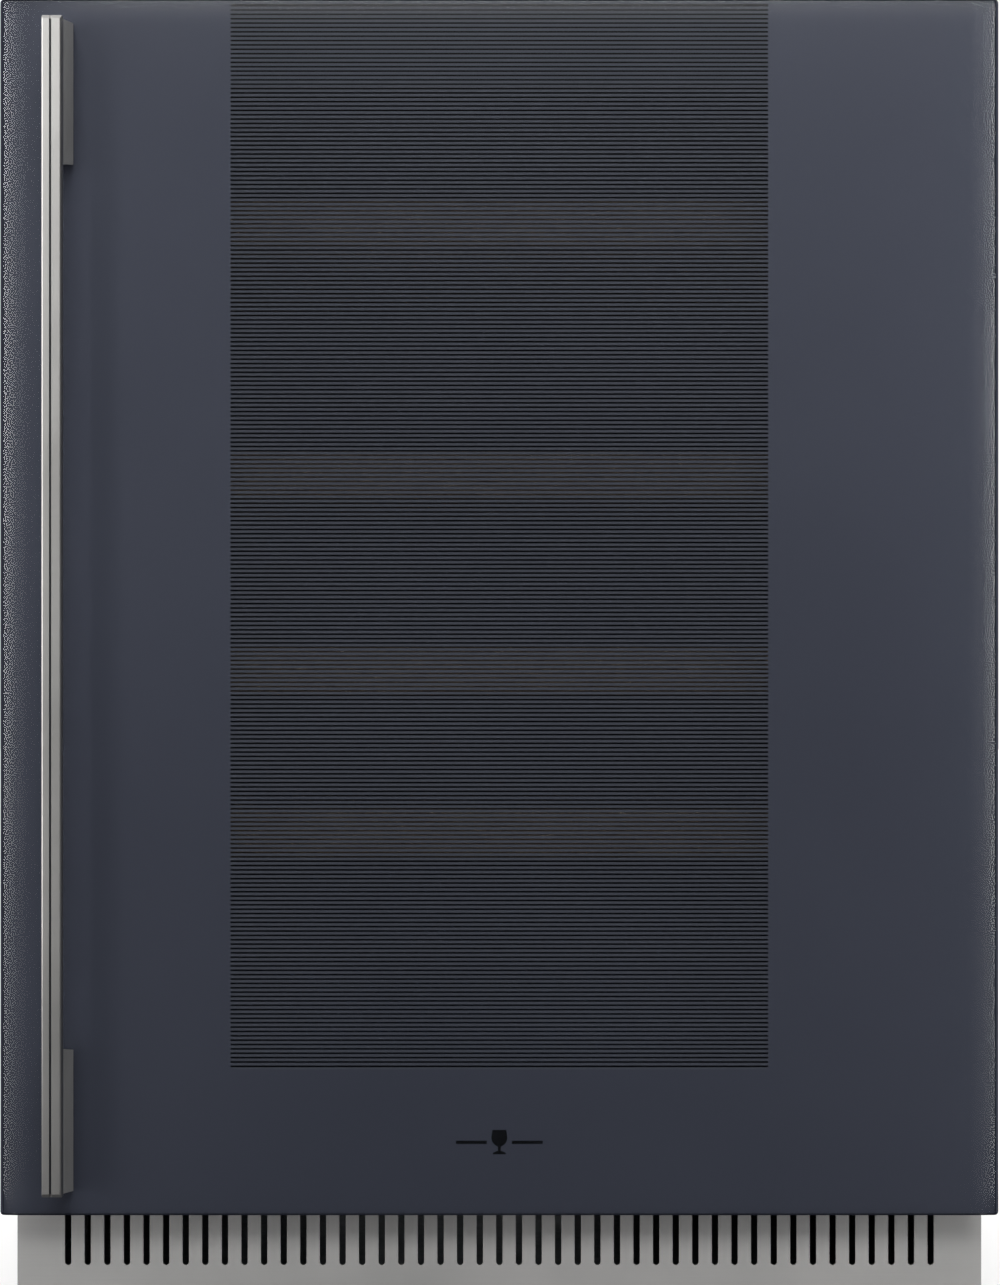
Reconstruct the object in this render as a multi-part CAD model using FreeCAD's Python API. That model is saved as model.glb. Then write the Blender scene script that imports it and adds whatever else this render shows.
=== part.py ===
import FreeCAD, Part
import math
import os
from FreeCAD import Vector

# A 60 cm built-under wine cooler, in millimetres.
# +Z is up, the door faces -Y, +X is to the right of someone facing the door.
# The origin is on the floor, at the middle of the overall width and depth.

# ---------------------------------------------------------------- overall
OVERALL_HEIGHT = 820.0      # feet screwed in
DOOR_WIDTH = 597.0
DOOR_OVERHANG = 1.5         # glass past the cabinet, each side
CABINET_DEPTH = 520.0       # front frame to rear edge
HANDLE_REACH = 45.0         # handle face to glass face
DOOR_BOTTOM = 91.0          # glass edge above the floor
DOOR_TOP_GAP = 2.0          # glass edge below the overall top
SEAL_GAP = 9.0              # door frame to cabinet frame

# ---------------------------------------------------------------- clearances
RUNNING = 0.05              # shaft in a bore, radial
CLEARANCE = 0.3             # between moving pieces
HINGE_PLAY = 0.5            # door frame to hinge arm

# ---------------------------------------------------------------- cabinet
SHEET = 1.0
BASE_SHEET = 1.5
FOOT_HEIGHT = 20.0          # underside of the base pan
FRONT_SHEET = 2.0
LINER = 2.0
SIDE_FOAM = 40.0
TOP_FOAM = 28.5
FLOOR_FOAM = 44.0
BACK_FOAM = 38.0
STEP_FOAM = 40.0
DUCT_HEIGHT = 81.5          # clear height of the low air duct
BAY_HEIGHT = 205.5          # clear height of the machine bay
BAY_DEPTH = 202.0
REAR_RECESS = 2.0           # rear panels inside the casing's edge
TAB_SHEET = 1.5
TAB_X = 245.0               # worktop screw to the middle
TAB_WIDTH = 26.0
TAB_OVERHANG = 17.0         # in front of the cabinet
TAB_LENGTH = 43.0
TAB_HOLE_OFFSET = 9.0       # screw hole in front of the cabinet
TAB_HOLE = 2.5
VENT_ROWS = 4
VENT_COLUMNS = 12
VENT_PITCH = 34.0
VENT_LENGTH = 24.0
VENT_HEIGHT = 5.0
VENT_MARGIN_X = 60.0        # first vent to the cover's side
VENT_MARGIN_Z = 40.0        # lowest vent to the bay floor
REAR_SCREW = 1.5
REAR_SCREW_GRIP = 8.0       # in the foam
REAR_SCREW_HEAD = 4.0
REAR_SCREW_HEAD_HEIGHT = 1.6
REAR_SCREW_INSET = 16.0     # to the panel's side
REAR_SCREW_MARGIN = 14.0    # to the upper panel's ends
REAR_SCREW_DROP = 10.0      # below the lower cover's top edge

# ---------------------------------------------------------------- plinth grille
PLINTH_SHEET = 1.5
PLINTH_RETURN = 22.0
PLINTH_GAP = 0.5            # to the base pan and to the frame
SLOT_COUNT = 45
SLOT_WIDTH = 4.0
SLOT_MARGIN = 29.2          # end slot to the plinth's end
SLOT_FOOT = 49.7            # lowest point of a slot above the floor
SLOT_LENGTH = 38.3

# ---------------------------------------------------------------- feet
FOOT_INSET_X = 42.0
FOOT_INSET_FRONT = 41.0
FOOT_INSET_REAR = 39.0
FOOT_PAD = 19.0
FOOT_PAD_HEIGHT = 9.0
FOOT_COLLAR = 9.0
FOOT_STUD = 5.0
FOOT_STUD_TOP = 78.0
NUT_RADIUS = 9.0
NUT_HEIGHT = 8.0

# ---------------------------------------------------------------- door
GLASS = 4.0
GLASS_CORNER = 3.0
GLASS_CHAMFER = 0.6
DOOR_FRAME_DEPTH = 40.0
DOOR_LIP = 4.0              # glass past the door frame, each side
STILE_WIDTH = 54.5
TOP_RAIL = 34.0
BOTTOM_RAIL = 53.5
HINGE_LIP = 4.5             # glass past the door frame, top and bottom
PANE_GAP = 10.0
SPACER_WIDTH = 9.0
TRIM_WIDTH = 26.0
TRIM_DEPTH = 9.0
GASKET_WIDTH = 15.0
GASKET_INSET = 13.0         # gasket to the frame's side edge
GASKET_TOP = 10.0           # gasket to the cabinet's top edge
GASKET_BOTTOM = 26.0        # gasket to the frame's bottom edge

# ---------------------------------------------------------------- hinges
HINGE_INSET = 12.0          # axis to the glass edge
HINGE_SETBACK = 20.0        # axis to the door frame's back
PIN_RADIUS = 4.0
PIN_LENGTH = 15.0
BUSH_RADIUS = 7.0
BUSH_LENGTH = 15.5
ARM_HALF_WIDTH = 8.0
ARM_SHEET = 3.0
PLATE_SHEET = 2.0
PLATE_LENGTH = 47.0
PLATE_TOP_HEIGHT = 9.5
PLATE_BOTTOM_HEIGHT = 23.0
HINGE_SCREW = 2.0
HINGE_SCREW_HOLE = 2.2
HINGE_SCREW_HEAD = 3.6
HINGE_SCREW_HEAD_HEIGHT = 2.0
HINGE_SCREW_MARGIN = 8.0    # inner screw to the plate's end
HINGE_SCREW_SPACING = 14.0

# ---------------------------------------------------------------- handle
HANDLE_INSET = 38.2         # bar's centre line to the glass edge
HANDLE_WIDTH = 11.4
HANDLE_DEPTH = 8.0
HANDLE_END_GAP = 19.6       # bar's end to the glass edge
GROOVE_WIDTH = 1.3
GROOVE_DEPTH = 3.0
GROOVE_OFFSET = 0.65        # groove left of the centre line
HANDLE_CHAMFER = 0.8
HANDLE_END_CHAMFER = 2.2
POST_LENGTH = 84.5
POST_LEAN = 6.0             # the foot of a post lies further out than its head
SCREW_SPACING = 42.0
SCREW_RADIUS = 2.5
SCREW_HEAD = 4.5
SCREW_HOLE = 2.8
SCREW_GRIP = 14.0           # thread in the post
SCREW_HEAD_HEIGHT = 3.0
SCREW_SINK = 5.0            # head's seat below the door frame's back
GLASS_BORE = 4.0            # through the front pane

# ---------------------------------------------------------------- shelves
# rise of each shelf's front edge, as a share of the clear height over the step
SHELF_SHARES = (0.849, 0.5464, 0.3104, 0.1141)
FRONT_HEIGHT = 30.0
FRONT_THICKNESS = 18.0
FRONT_RECESS = 11.0         # shelf front behind the cabinet's front
FRONT_SIDE_GAP = 24.0       # shelf front to the liner
FRONT_ROUND = 4.0
RAIL_WIDTH = 16.0
RAIL_HEIGHT = 18.0
RAIL_DROP = 10.0            # side rail below the front's top edge
SLAT_COUNT = 7
SLAT_WIDTH = 34.0
SLAT_THICKNESS = 12.0
SLAT_DROP = 12.0            # slat below the front's top edge
SHELF_BACK_GAP = 13.0       # shelf to the evaporator cover
BOTTLE_COUNT = 5
BOTTLE_PITCH = 88.0
BOTTLE_RADIUS = 38.0
SCALLOP_DEPTH = 6.0
SLIDE_RECESS = 32.0         # runner behind the shelf's front face
SLIDE_HEIGHT = 10.0
SLIDE_SHEET = 1.5
RUNNER_WIDTH = 13.0         # shelf side to the liner
CHANNEL_HEIGHT = 14.0
CHANNEL_REACH = 10.0
SLIDE_PLAY = 0.5
RUNNER_DROP = 19.0          # runner's centre line below the front's top edge

# ---------------------------------------------------------------- console
CONSOLE_HALF = 150.0
CONSOLE_HEIGHT = 18.0
CONSOLE_DEPTH = 64.0
CONSOLE_RECESS = 7.0
CONSOLE_WALL = 3.0
CONSOLE_FLOOR = 2.0
DISPLAY_HALF = 30.0
DISPLAY_HEIGHT = 11.0
DISPLAY_PROUD = 0.4
BUTTON_RADIUS = 4.7
BUTTON_FLANGE = 6.0
BUTTON_PROUD = 1.5
BUTTON_LENGTH = 10.5
BUTTON_PLACES = {"power": -110.0, "light": -80.0, "minus": 80.0, "plus": 110.0}
BOARD_SETBACK = 11.0
BOARD = 1.6
LIGHT_HALF = 200.0
LIGHT_WIDTH = 14.0
LIGHT_HEIGHT = 6.0

# ---------------------------------------------------------------- cold side
COVER = 3.0
COVER_MOUTH = 52.0          # radius of the fan's mouth
COVER_SLOTS = 15
COVER_SLOT_PITCH = 24.0
COVER_SLOT_HALF = 3.0
COVER_SLOT_FOOT = 18.0      # above the step
COVER_SLOT_HEAD = 50.0
COVER_GAP = 35.0            # cover to the liner's back
EVAPORATOR_HALF = 165.0
EVAPORATOR_DEPTH = 31.0
EVAPORATOR_RISE = 60.0      # above the step
COIL_TUBE = 4.0
FIN = 0.8
COLD_FIN_PITCH = 11.0
COLD_ROW_PITCH = 44.0
COLD_FAN_DROP = 97.0        # fan axis below the ceiling
COLD_FAN_GAP = 100.0        # evaporator below the fan axis
FILTER_RADIUS = 32.0
FILTER_DEPTH = 9.0
FILTER_X = 150.0
# along each fan's own axis, from the back of the panel it blows through
COLD_FAN = {"tip": 50.0, "hub": 14.0, "z0": 1.0, "z1": 11.0, "blades": 7, "chord": 18.0, "shaft": 2.5,
            "shaft_length": 14.0}
COLD_MOTOR = {"radius": 16.0, "z0": 13.0, "z1": 33.0, "shaft": 2.5, "bore_depth": 14.0}
COLD_RING_OUTER = 62.0
COLD_RING_INNER = 54.0
COLD_RING = 4.0
HOT_FAN = {"tip": 66.0, "hub": 18.0, "z0": -5.0, "z1": 10.0, "blades": 7, "chord": 26.0, "shaft": 3.0,
           "shaft_length": 18.0}
HOT_MOTOR = {"radius": 20.0, "z0": 12.0, "z1": 42.0, "shaft": 3.0, "bore_depth": 20.0}

# ---------------------------------------------------------------- machine bay
COMPRESSOR_X = 150.0
COMPRESSOR_RADIUS = 64.0
COMPRESSOR_HEIGHT = 135.0
COMPRESSOR_FLANGE = 4.0
COMPRESSOR_ROUND = 24.0
COMPRESSOR_STUB = 14.0      # tube stub past the pot
COMPRESSOR_SETBACK = 101.0  # axis to the bay's rear panel
PLATE_RISE = 20.5           # compressor plate above the base pan
PLATE_HALF_X = 90.0
PLATE_HALF_Y = 68.0
MOUNT_INSET = 15.0
MOUNT_RADIUS = 11.0
TRAY_HALF = 62.0
TRAY_HEIGHT = 20.0
TRAY_WALL = 2.0
CONDENSER_LEFT = -235.0
CONDENSER_DEPTH_X = 70.0
CONDENSER_HALF_Y = 65.0
CONDENSER_BOTTOM = 35.0
CONDENSER_HEIGHT = 160.0
CONDENSER_FIN_PITCH = 6.5
CONDENSER_ROW_PITCH = 32.0
SHROUD = 4.0
SHROUD_SKIRT = 10.0
SHROUD_HALF = 75.0
PIPE_RADIUS = 3.0
CAPILLARY_RADIUS = 1.5
PIPE_BEND = 12.0
DRIER_RADIUS = 9.0
DRIER_LENGTH = 70.0
INLET_X = 251.0
INLET_Z = 180.0
INLET_WIDTH = 30.0
INLET_HEIGHT = 24.0
INLET_DEPTH = 24.0
INLET_FLANGE = 3.0
INLET_WALL = 4.0
INLET_BACK = 6.0            # solid behind the socket
PIN_REACH = 12.0

# ---------------------------------------------------------------- derived planes
half_cabinet = DOOR_WIDTH / 2 - DOOR_OVERHANG
half_inside = half_cabinet - SHEET
half_liner = half_inside - SIDE_FOAM
half_cavity = half_liner - LINER

overall_depth = HANDLE_REACH + GLASS + DOOR_FRAME_DEPTH + SEAL_GAP + CABINET_DEPTH
y_handle = -overall_depth / 2
y_glass = y_handle + HANDLE_REACH
y_door_frame = y_glass + GLASS
y_door_back = y_door_frame + DOOR_FRAME_DEPTH
y_cabinet = y_door_back + SEAL_GAP
y_frame_back = y_cabinet + FRONT_SHEET
y_rear = overall_depth / 2
y_panel_back = y_rear - REAR_RECESS
y_panel = y_panel_back - SHEET
y_liner_back = y_panel - BACK_FOAM
y_cavity_back = y_liner_back - LINER
y_cover = y_cavity_back - COVER_GAP
y_cover_front = y_cover - COVER
y_bay_wall = y_panel - BAY_DEPTH
y_step_foam = y_bay_wall - SHEET
y_step_liner = y_step_foam - SIDE_FOAM
y_step = y_step_liner - LINER

z_base = FOOT_HEIGHT
z_bay_floor = z_base + BASE_SHEET
z_duct_top = z_bay_floor + DUCT_HEIGHT
z_floor_foam = z_duct_top + SHEET
z_floor_liner = z_floor_foam + FLOOR_FOAM
z_floor = z_floor_liner + LINER
z_bay_top = z_bay_floor + BAY_HEIGHT
z_step_foam = z_bay_top + SHEET
z_step_liner = z_step_foam + STEP_FOAM
z_step = z_step_liner + LINER
z_casing_top = OVERALL_HEIGHT - TAB_SHEET
z_top_panel = z_casing_top - SHEET
z_top_liner = z_top_panel - TOP_FOAM
z_ceiling = z_top_liner - LINER

z_door_bottom = DOOR_BOTTOM
z_door_top = OVERALL_HEIGHT - DOOR_TOP_GAP
z_frame_bottom = z_door_bottom + HINGE_LIP
z_frame_top = z_door_top - HINGE_LIP
z_ring_bottom = z_door_bottom + PLINTH_GAP
half_glass = DOOR_WIDTH / 2
half_door_frame = half_glass - DOOR_LIP
half_window = half_door_frame - STILE_WIDTH
z_window_bottom = z_frame_bottom + BOTTOM_RAIL
z_window_top = z_frame_top - TOP_RAIL
hinge_x = half_glass - HINGE_INSET
hinge_y = y_door_back - HINGE_SETBACK

handle_x = -half_glass + HANDLE_INSET
z_handle_bottom = z_door_bottom + HANDLE_END_GAP
z_handle_top = z_door_top - HANDLE_END_GAP

y_shelf = y_cabinet + FRONT_RECESS
y_shelf_back = y_cover_front - SHELF_BACK_GAP
y_slide = y_shelf + SLIDE_RECESS
half_front = half_cavity - FRONT_SIDE_GAP
half_slide = half_cavity - RUNNER_WIDTH
shelf_tops = [z_step + share * (z_ceiling - z_step) for share in SHELF_SHARES]

y_console = y_cabinet + CONSOLE_RECESS
z_console = z_ceiling - CONSOLE_HEIGHT
z_cold_fan = z_ceiling - COLD_FAN_DROP
y_compressor = y_panel - COMPRESSOR_SETBACK
z_plate = z_bay_floor + PLATE_RISE
z_compressor = z_plate + 3.0
z_compressor_top = z_compressor + COMPRESSOR_HEIGHT
y_condenser = y_compressor - 20.0
x_shroud = CONDENSER_LEFT + CONDENSER_DEPTH_X + SHROUD_SKIRT
z_hot_fan = CONDENSER_BOTTOM + CONDENSER_HEIGHT / 2

X_AXIS = Vector(1, 0, 0)
Y_AXIS = Vector(0, 1, 0)
Z_AXIS = Vector(0, 0, 1)


# ---------------------------------------------------------------- helpers
def block(x0, x1, y0, y1, z0, z1):
    """A box between two corners."""
    return Part.makeBox(x1 - x0, y1 - y0, z1 - z0, Vector(x0, y0, z0))


def rod(radius, length, x, y, z, axis):
    """A cylinder from one end's centre along an axis."""
    return Part.makeCylinder(radius, length, Vector(x, y, z), axis)


def joined(shapes):
    """One solid from shapes that meet."""
    return shapes[0].multiFuse(shapes[1:]).removeSplitter()


def mirrored(shape):
    """The shape's twin on the other side of the middle plane."""
    return shape.mirror(Vector(0, 0, 0), X_AXIS)


def pair(shape):
    """A shape and its twin, as two solids."""
    return Part.makeCompound([shape, mirrored(shape)])


def prism(points, height, axis):
    """A flat outline of (x, y, z) corners pushed along an axis."""
    corners = [Vector(*p) for p in points]
    face = Part.Face(Part.makePolygon(corners + corners[:1]))
    return face.extrude(axis * height)


def edges_along(shape, axis, where):
    """Straight edges parallel to an axis whose middle passes a test."""
    found = []
    for edge in shape.Edges:
        if not isinstance(edge.Curve, Part.Line):
            continue
        ends = [vertex.Point for vertex in edge.Vertexes]
        direction = ends[1] - ends[0]
        if direction.cross(axis).Length < 1e-6 * direction.Length and where((ends[0] + ends[1]) / 2):
            found.append(edge)
    return found


def pipe(points, radius, bend):
    """A round tube along straight runs joined by tangent arcs."""
    corners = [Vector(*p) for p in points]
    edges = []
    start = corners[0]
    for before, corner, after in zip(corners, corners[1:], corners[2:]):
        back = (before - corner).normalize()
        ahead = (after - corner).normalize()
        half_turn = (math.pi - back.getAngle(ahead)) / 2
        enter = corner + back * (bend * math.tan(half_turn))
        leave = corner + ahead * (bend * math.tan(half_turn))
        inward = (back + ahead).normalize()
        middle = corner + inward * (bend / math.cos(half_turn) - bend)
        edges.append(Part.LineSegment(start, enter).toShape())
        edges.append(Part.Arc(enter, middle, leave).toShape())
        start = leave
    edges.append(Part.LineSegment(start, corners[-1]).toShape())
    section = Part.Wire([Part.makeCircle(radius, corners[0], corners[1] - corners[0])])
    return Part.Wire(edges).makePipeShell([section], True, False)


def save(name, shape):
    """Write one sub-part's STEP file."""
    if not shape.isValid():
        print("not valid:", name)
    shape.exportStep("parts/" + name + ".step")


# ---------------------------------------------------------------- casing
def front_frame():
    """The painted frame round the cavity, which the door's gasket meets."""
    ring = block(-half_cabinet, half_cabinet, y_cabinet, y_frame_back, z_ring_bottom, z_casing_top)
    opening = block(-half_cavity, half_cavity, y_cabinet - 1, y_frame_back + 1, z_floor, z_ceiling)
    ring = ring.cut(opening)
    for x, z in hinge_screw_places():
        ring = ring.cut(rod(HINGE_SCREW, FRONT_SHEET, x, y_cabinet, z, Y_AXIS))
    return ring


def casing_panels():
    """Left and right side sheets, and the top sheet between them."""
    side = block(half_inside, half_cabinet, y_frame_back, y_rear, z_base, z_casing_top)
    top = block(-half_inside, half_inside, y_frame_back, y_rear, z_top_panel, z_casing_top)
    return Part.makeCompound([side, mirrored(side), top])


def rear_screw_places():
    """Screw places on the rear panels: (x, z)."""
    side = half_inside - REAR_SCREW_INSET
    upper_low = z_step_foam + REAR_SCREW_MARGIN
    upper_high = z_top_panel - REAR_SCREW_MARGIN
    upper_middle = (upper_low + upper_high) / 2
    lower_high = z_step_foam - REAR_SCREW_DROP
    places = [(x, z) for x in (-side, side) for z in (upper_low, upper_middle, upper_high)]
    places += [(0.0, upper_low), (0.0, upper_high)]
    places += [(x, lower_high) for x in (-side, 0.0, side)]
    return places


def rear_panels():
    """The upper rear sheet, and the vented cover of the machine bay."""
    upper = block(-half_inside, half_inside, y_panel, y_panel_back, z_step_foam, z_top_panel)
    lower = block(-half_inside, half_inside, y_panel, y_panel_back, z_bay_floor, z_step_foam)
    half_inlet = INLET_WIDTH / 2
    hole = block(INLET_X - half_inlet, INLET_X + half_inlet, y_panel - 1, y_rear,
                 INLET_Z - INLET_HEIGHT / 2, INLET_Z + INLET_HEIGHT / 2)
    vents = []
    for row in range(VENT_ROWS):
        for column in range(VENT_COLUMNS):
            x = -half_inside + VENT_MARGIN_X + column * VENT_PITCH
            z = z_bay_floor + VENT_MARGIN_Z + row * VENT_PITCH
            vents.append(block(x, x + VENT_LENGTH, y_panel - 1, y_rear, z, z + VENT_HEIGHT))
    lower = lower.cut(Part.makeCompound([hole] + vents))
    bores = [rod(REAR_SCREW, SHEET, x, y_panel, z, Y_AXIS) for x, z in rear_screw_places()]
    screws = Part.makeCompound(bores)
    return Part.makeCompound([upper.cut(screws), lower.cut(screws)])


def foot_places():
    """Centres of the four feet, with their names."""
    x = half_cabinet - FOOT_INSET_X
    front = y_cabinet + FOOT_INSET_FRONT
    rear = y_rear - FOOT_INSET_REAR
    return {"front_left": (-x, front), "front_right": (x, front),
            "rear_left": (-x, rear), "rear_right": (x, rear)}


def base_pan():
    """The base sheet with a weld nut over each foot."""
    pan = block(-half_inside, half_inside, y_frame_back, y_rear, z_base, z_bay_floor)
    nuts = [rod(NUT_RADIUS, NUT_HEIGHT, x, y, z_bay_floor, Z_AXIS) for x, y in foot_places().values()]
    pan = joined([pan] + nuts)
    bores = [rod(FOOT_STUD + CLEARANCE, BASE_SHEET + NUT_HEIGHT, x, y, z_base, Z_AXIS)
             for x, y in foot_places().values()]
    return pan.cut(Part.makeCompound(bores))


def bay_partition():
    """The folded sheet that closes the duct and the machine bay from the foam."""
    duct = block(-half_inside, half_inside, y_frame_back, y_bay_wall, z_duct_top, z_floor_foam)
    wall = block(-half_inside, half_inside, y_step_foam, y_bay_wall, z_floor_foam, z_step_foam)
    roof = block(-half_inside, half_inside, y_bay_wall, y_panel, z_bay_top, z_step_foam)
    return joined([duct, wall, roof])


def foam_insulation():
    """The foam between casing and liner, as slabs that meet face to face."""
    top = block(-half_inside, half_inside, y_frame_back, y_panel, z_top_liner, z_top_panel)
    back = block(-half_inside, half_inside, y_liner_back, y_panel, z_step_foam, z_top_liner)
    floor = block(-half_liner, half_liner, y_frame_back, y_step_liner, z_floor_foam, z_floor_liner)
    riser = block(-half_liner, half_liner, y_step_liner, y_step_foam, z_floor_foam, z_step_liner)
    step = block(-half_liner, half_liner, y_step_foam, y_liner_back, z_step_foam, z_step_liner)
    side_front = block(half_liner, half_inside, y_frame_back, y_step_foam, z_floor_foam, z_top_liner)
    side_rear = block(half_liner, half_inside, y_step_foam, y_liner_back, z_step_foam, z_top_liner)
    depth = REAR_SCREW_GRIP + 1.0
    bores = [rod(REAR_SCREW, depth, x, y_panel - depth, z, Y_AXIS) for x, z in rear_screw_places()]
    screws = Part.makeCompound(bores)
    return Part.makeCompound([top.cut(screws), back.cut(screws), floor, riser, step,
                              side_front, mirrored(side_front), side_rear, mirrored(side_rear)])


def inner_liner():
    """The moulded cavity: one thin shell with the step over the machine bay."""
    def side_outline(x, front, floor, step_y, step_z, back, top):
        return [(x, front, floor), (x, step_y, floor), (x, step_y, step_z),
                (x, back, step_z), (x, back, top), (x, front, top)]

    outer = prism(side_outline(-half_liner, y_frame_back, z_floor_liner, y_step_liner,
                               z_step_liner, y_liner_back, z_top_liner), 2 * half_liner, X_AXIS)
    inner = prism(side_outline(-half_cavity, y_frame_back - 1, z_floor, y_step,
                               z_step, y_cavity_back, z_ceiling), 2 * half_cavity, X_AXIS)
    return outer.cut(inner)


def worktop_tabs():
    """Two tabs on the casing, screwed up into the worktop from the front."""
    tab = block(TAB_X - TAB_WIDTH / 2, TAB_X + TAB_WIDTH / 2, y_cabinet - TAB_OVERHANG,
                y_cabinet - TAB_OVERHANG + TAB_LENGTH, z_casing_top, OVERALL_HEIGHT)
    tab = tab.makeFillet(4.0, edges_along(tab, Z_AXIS, lambda p: p.y < y_cabinet))
    hole = rod(TAB_HOLE, TAB_SHEET, TAB_X, y_cabinet - TAB_HOLE_OFFSET, z_casing_top, Z_AXIS)
    return pair(tab.cut(hole))


def plinth_grille():
    """The steel plinth with a row of upright air slots."""
    z_bottom = z_bay_floor + PLINTH_GAP
    z_top = z_door_bottom
    y_front = y_frame_back - 5.0
    face = block(-half_cabinet, half_cabinet, y_front, y_front + PLINTH_SHEET, z_bottom, z_top)
    side = block(half_inside - PLINTH_SHEET, half_inside, y_front + PLINTH_SHEET,
                 y_front + PLINTH_SHEET + PLINTH_RETURN, z_bottom, z_top)
    plinth = joined([face, side, mirrored(side)])
    first = -half_cabinet + SLOT_MARGIN + SLOT_WIDTH / 2
    pitch = -2 * first / (SLOT_COUNT - 1)
    radius = SLOT_WIDTH / 2
    slots = []
    for index in range(SLOT_COUNT):
        x = first + index * pitch
        slots.append(block(x - radius, x + radius, y_front - 1, y_front + PLINTH_SHEET + 1,
                           SLOT_FOOT + radius, SLOT_FOOT + SLOT_LENGTH - radius))
        for z in (SLOT_FOOT + radius, SLOT_FOOT + SLOT_LENGTH - radius):
            slots.append(rod(radius, PLINTH_SHEET + 2, x, y_front - 1, z, Y_AXIS))
    return plinth.cut(Part.makeCompound([joined(slots[i:i + 3]) for i in range(0, len(slots), 3)]))


def foot(x, y):
    """A levelling foot: pad, collar and threaded stud."""
    pad = rod(FOOT_PAD, FOOT_PAD_HEIGHT, x, y, 0, Z_AXIS)
    pad = pad.makeFillet(2.0, [edge for edge in pad.Edges if edge.BoundBox.ZMin > 1])
    collar_height = z_base - HINGE_PLAY - FOOT_PAD_HEIGHT
    collar = rod(FOOT_COLLAR, collar_height, x, y, FOOT_PAD_HEIGHT, Z_AXIS)
    stud = rod(FOOT_STUD, FOOT_STUD_TOP - z_base, x, y, z_base - HINGE_PLAY, Z_AXIS)
    return joined([pad, collar, stud])


# ---------------------------------------------------------------- hinges
def hinge_screw_places():
    """Two screws in each hinge plate: (x, z)."""
    z_high = z_door_top - PLATE_TOP_HEIGHT / 2
    z_low = z_ring_bottom + 1.0 + PLATE_BOTTOM_HEIGHT / 2
    inner = half_cabinet - PLATE_LENGTH + HINGE_SCREW_MARGIN
    outer = inner + HINGE_SCREW_SPACING
    return [(inner, z_high), (outer, z_high), (inner, z_low), (outer, z_low)]


def hinge_bracket(z_plate_low, z_plate_high, z_arm, z_pin):
    """A plate on the cabinet frame, an arm over the door's edge, and its pin."""
    plate = block(half_cabinet - PLATE_LENGTH, half_cabinet, y_cabinet - PLATE_SHEET, y_cabinet,
                  z_plate_low, z_plate_high)
    bores = [rod(HINGE_SCREW_HOLE, PLATE_SHEET, x, y_cabinet - PLATE_SHEET, z, Y_AXIS)
             for x, z in hinge_screw_places() if z_plate_low < z < z_plate_high]
    plate = plate.cut(Part.makeCompound(bores))
    arm = block(hinge_x - ARM_HALF_WIDTH, hinge_x + ARM_HALF_WIDTH, hinge_y, y_cabinet - PLATE_SHEET,
                z_arm, z_arm + ARM_SHEET)
    nose = rod(ARM_HALF_WIDTH, ARM_SHEET, hinge_x, hinge_y, z_arm, Z_AXIS)
    pin = rod(PIN_RADIUS, PIN_LENGTH, hinge_x, hinge_y, z_pin, Z_AXIS)
    return joined([plate, arm, nose, pin])


def hinge_brackets():
    """Top and bottom hinge brackets, fixed to the cabinet."""
    z_arm_top = z_frame_top + HINGE_PLAY
    z_arm_bottom = z_frame_bottom - HINGE_PLAY - ARM_SHEET
    top = hinge_bracket(z_door_top - PLATE_TOP_HEIGHT, z_door_top, z_arm_top, z_arm_top - PIN_LENGTH)
    z_low = z_arm_bottom
    bottom = hinge_bracket(z_low, z_low + PLATE_BOTTOM_HEIGHT, z_arm_bottom, z_arm_bottom + ARM_SHEET)
    return Part.makeCompound([top, bottom])


def cabinet_screws():
    """Hinge screws at the front, panel screws at the rear."""
    screws = []
    y_plate = y_cabinet - PLATE_SHEET
    for x, z in hinge_screw_places():
        head = rod(HINGE_SCREW_HEAD, HINGE_SCREW_HEAD_HEIGHT, x, y_plate - HINGE_SCREW_HEAD_HEIGHT, z, Y_AXIS)
        shank = rod(HINGE_SCREW, PLATE_SHEET + FRONT_SHEET, x, y_plate, z, Y_AXIS)
        screws.append(joined([head, shank]))
    for x, z in rear_screw_places():
        head = rod(REAR_SCREW_HEAD, REAR_SCREW_HEAD_HEIGHT, x, y_panel_back, z, Y_AXIS)
        shank = rod(REAR_SCREW, SHEET + REAR_SCREW_GRIP, x, y_panel - REAR_SCREW_GRIP, z, Y_AXIS)
        screws.append(joined([head, shank]))
    return Part.makeCompound(screws)


# ---------------------------------------------------------------- door
def handle_screw_heights():
    """Heights of the four handle screws."""
    middle = (z_handle_bottom + z_handle_top) / 2
    post = z_handle_top - POST_LENGTH / 2 + POST_LEAN / 2 - middle
    shifts = (-SCREW_SPACING / 2, SCREW_SPACING / 2)
    return [middle + side * (post + shift) for side in (-1, 1) for shift in shifts]


def outer_glass():
    """The toughened front pane, drilled for the handle screws."""
    pane = block(-half_glass, half_glass, y_glass, y_door_frame, z_door_bottom, z_door_top)
    pane = pane.makeFillet(GLASS_CORNER, edges_along(pane, Y_AXIS, lambda p: True))
    front = [edge for edge in pane.Edges if edge.BoundBox.YMax < y_glass + 0.01]
    pane = pane.makeChamfer(GLASS_CHAMFER, front)
    bores = [rod(GLASS_BORE, GLASS, handle_x, y_glass, z, Y_AXIS) for z in handle_screw_heights()]
    return pane.cut(Part.makeCompound(bores))


def bush_bores(radius):
    """Cylinders at the two hinge bushes."""
    bottom = rod(radius, BUSH_LENGTH, hinge_x, hinge_y, z_frame_bottom, Z_AXIS)
    top = rod(radius, BUSH_LENGTH, hinge_x, hinge_y, z_frame_top - BUSH_LENGTH, Z_AXIS)
    return [bottom, top]


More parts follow.
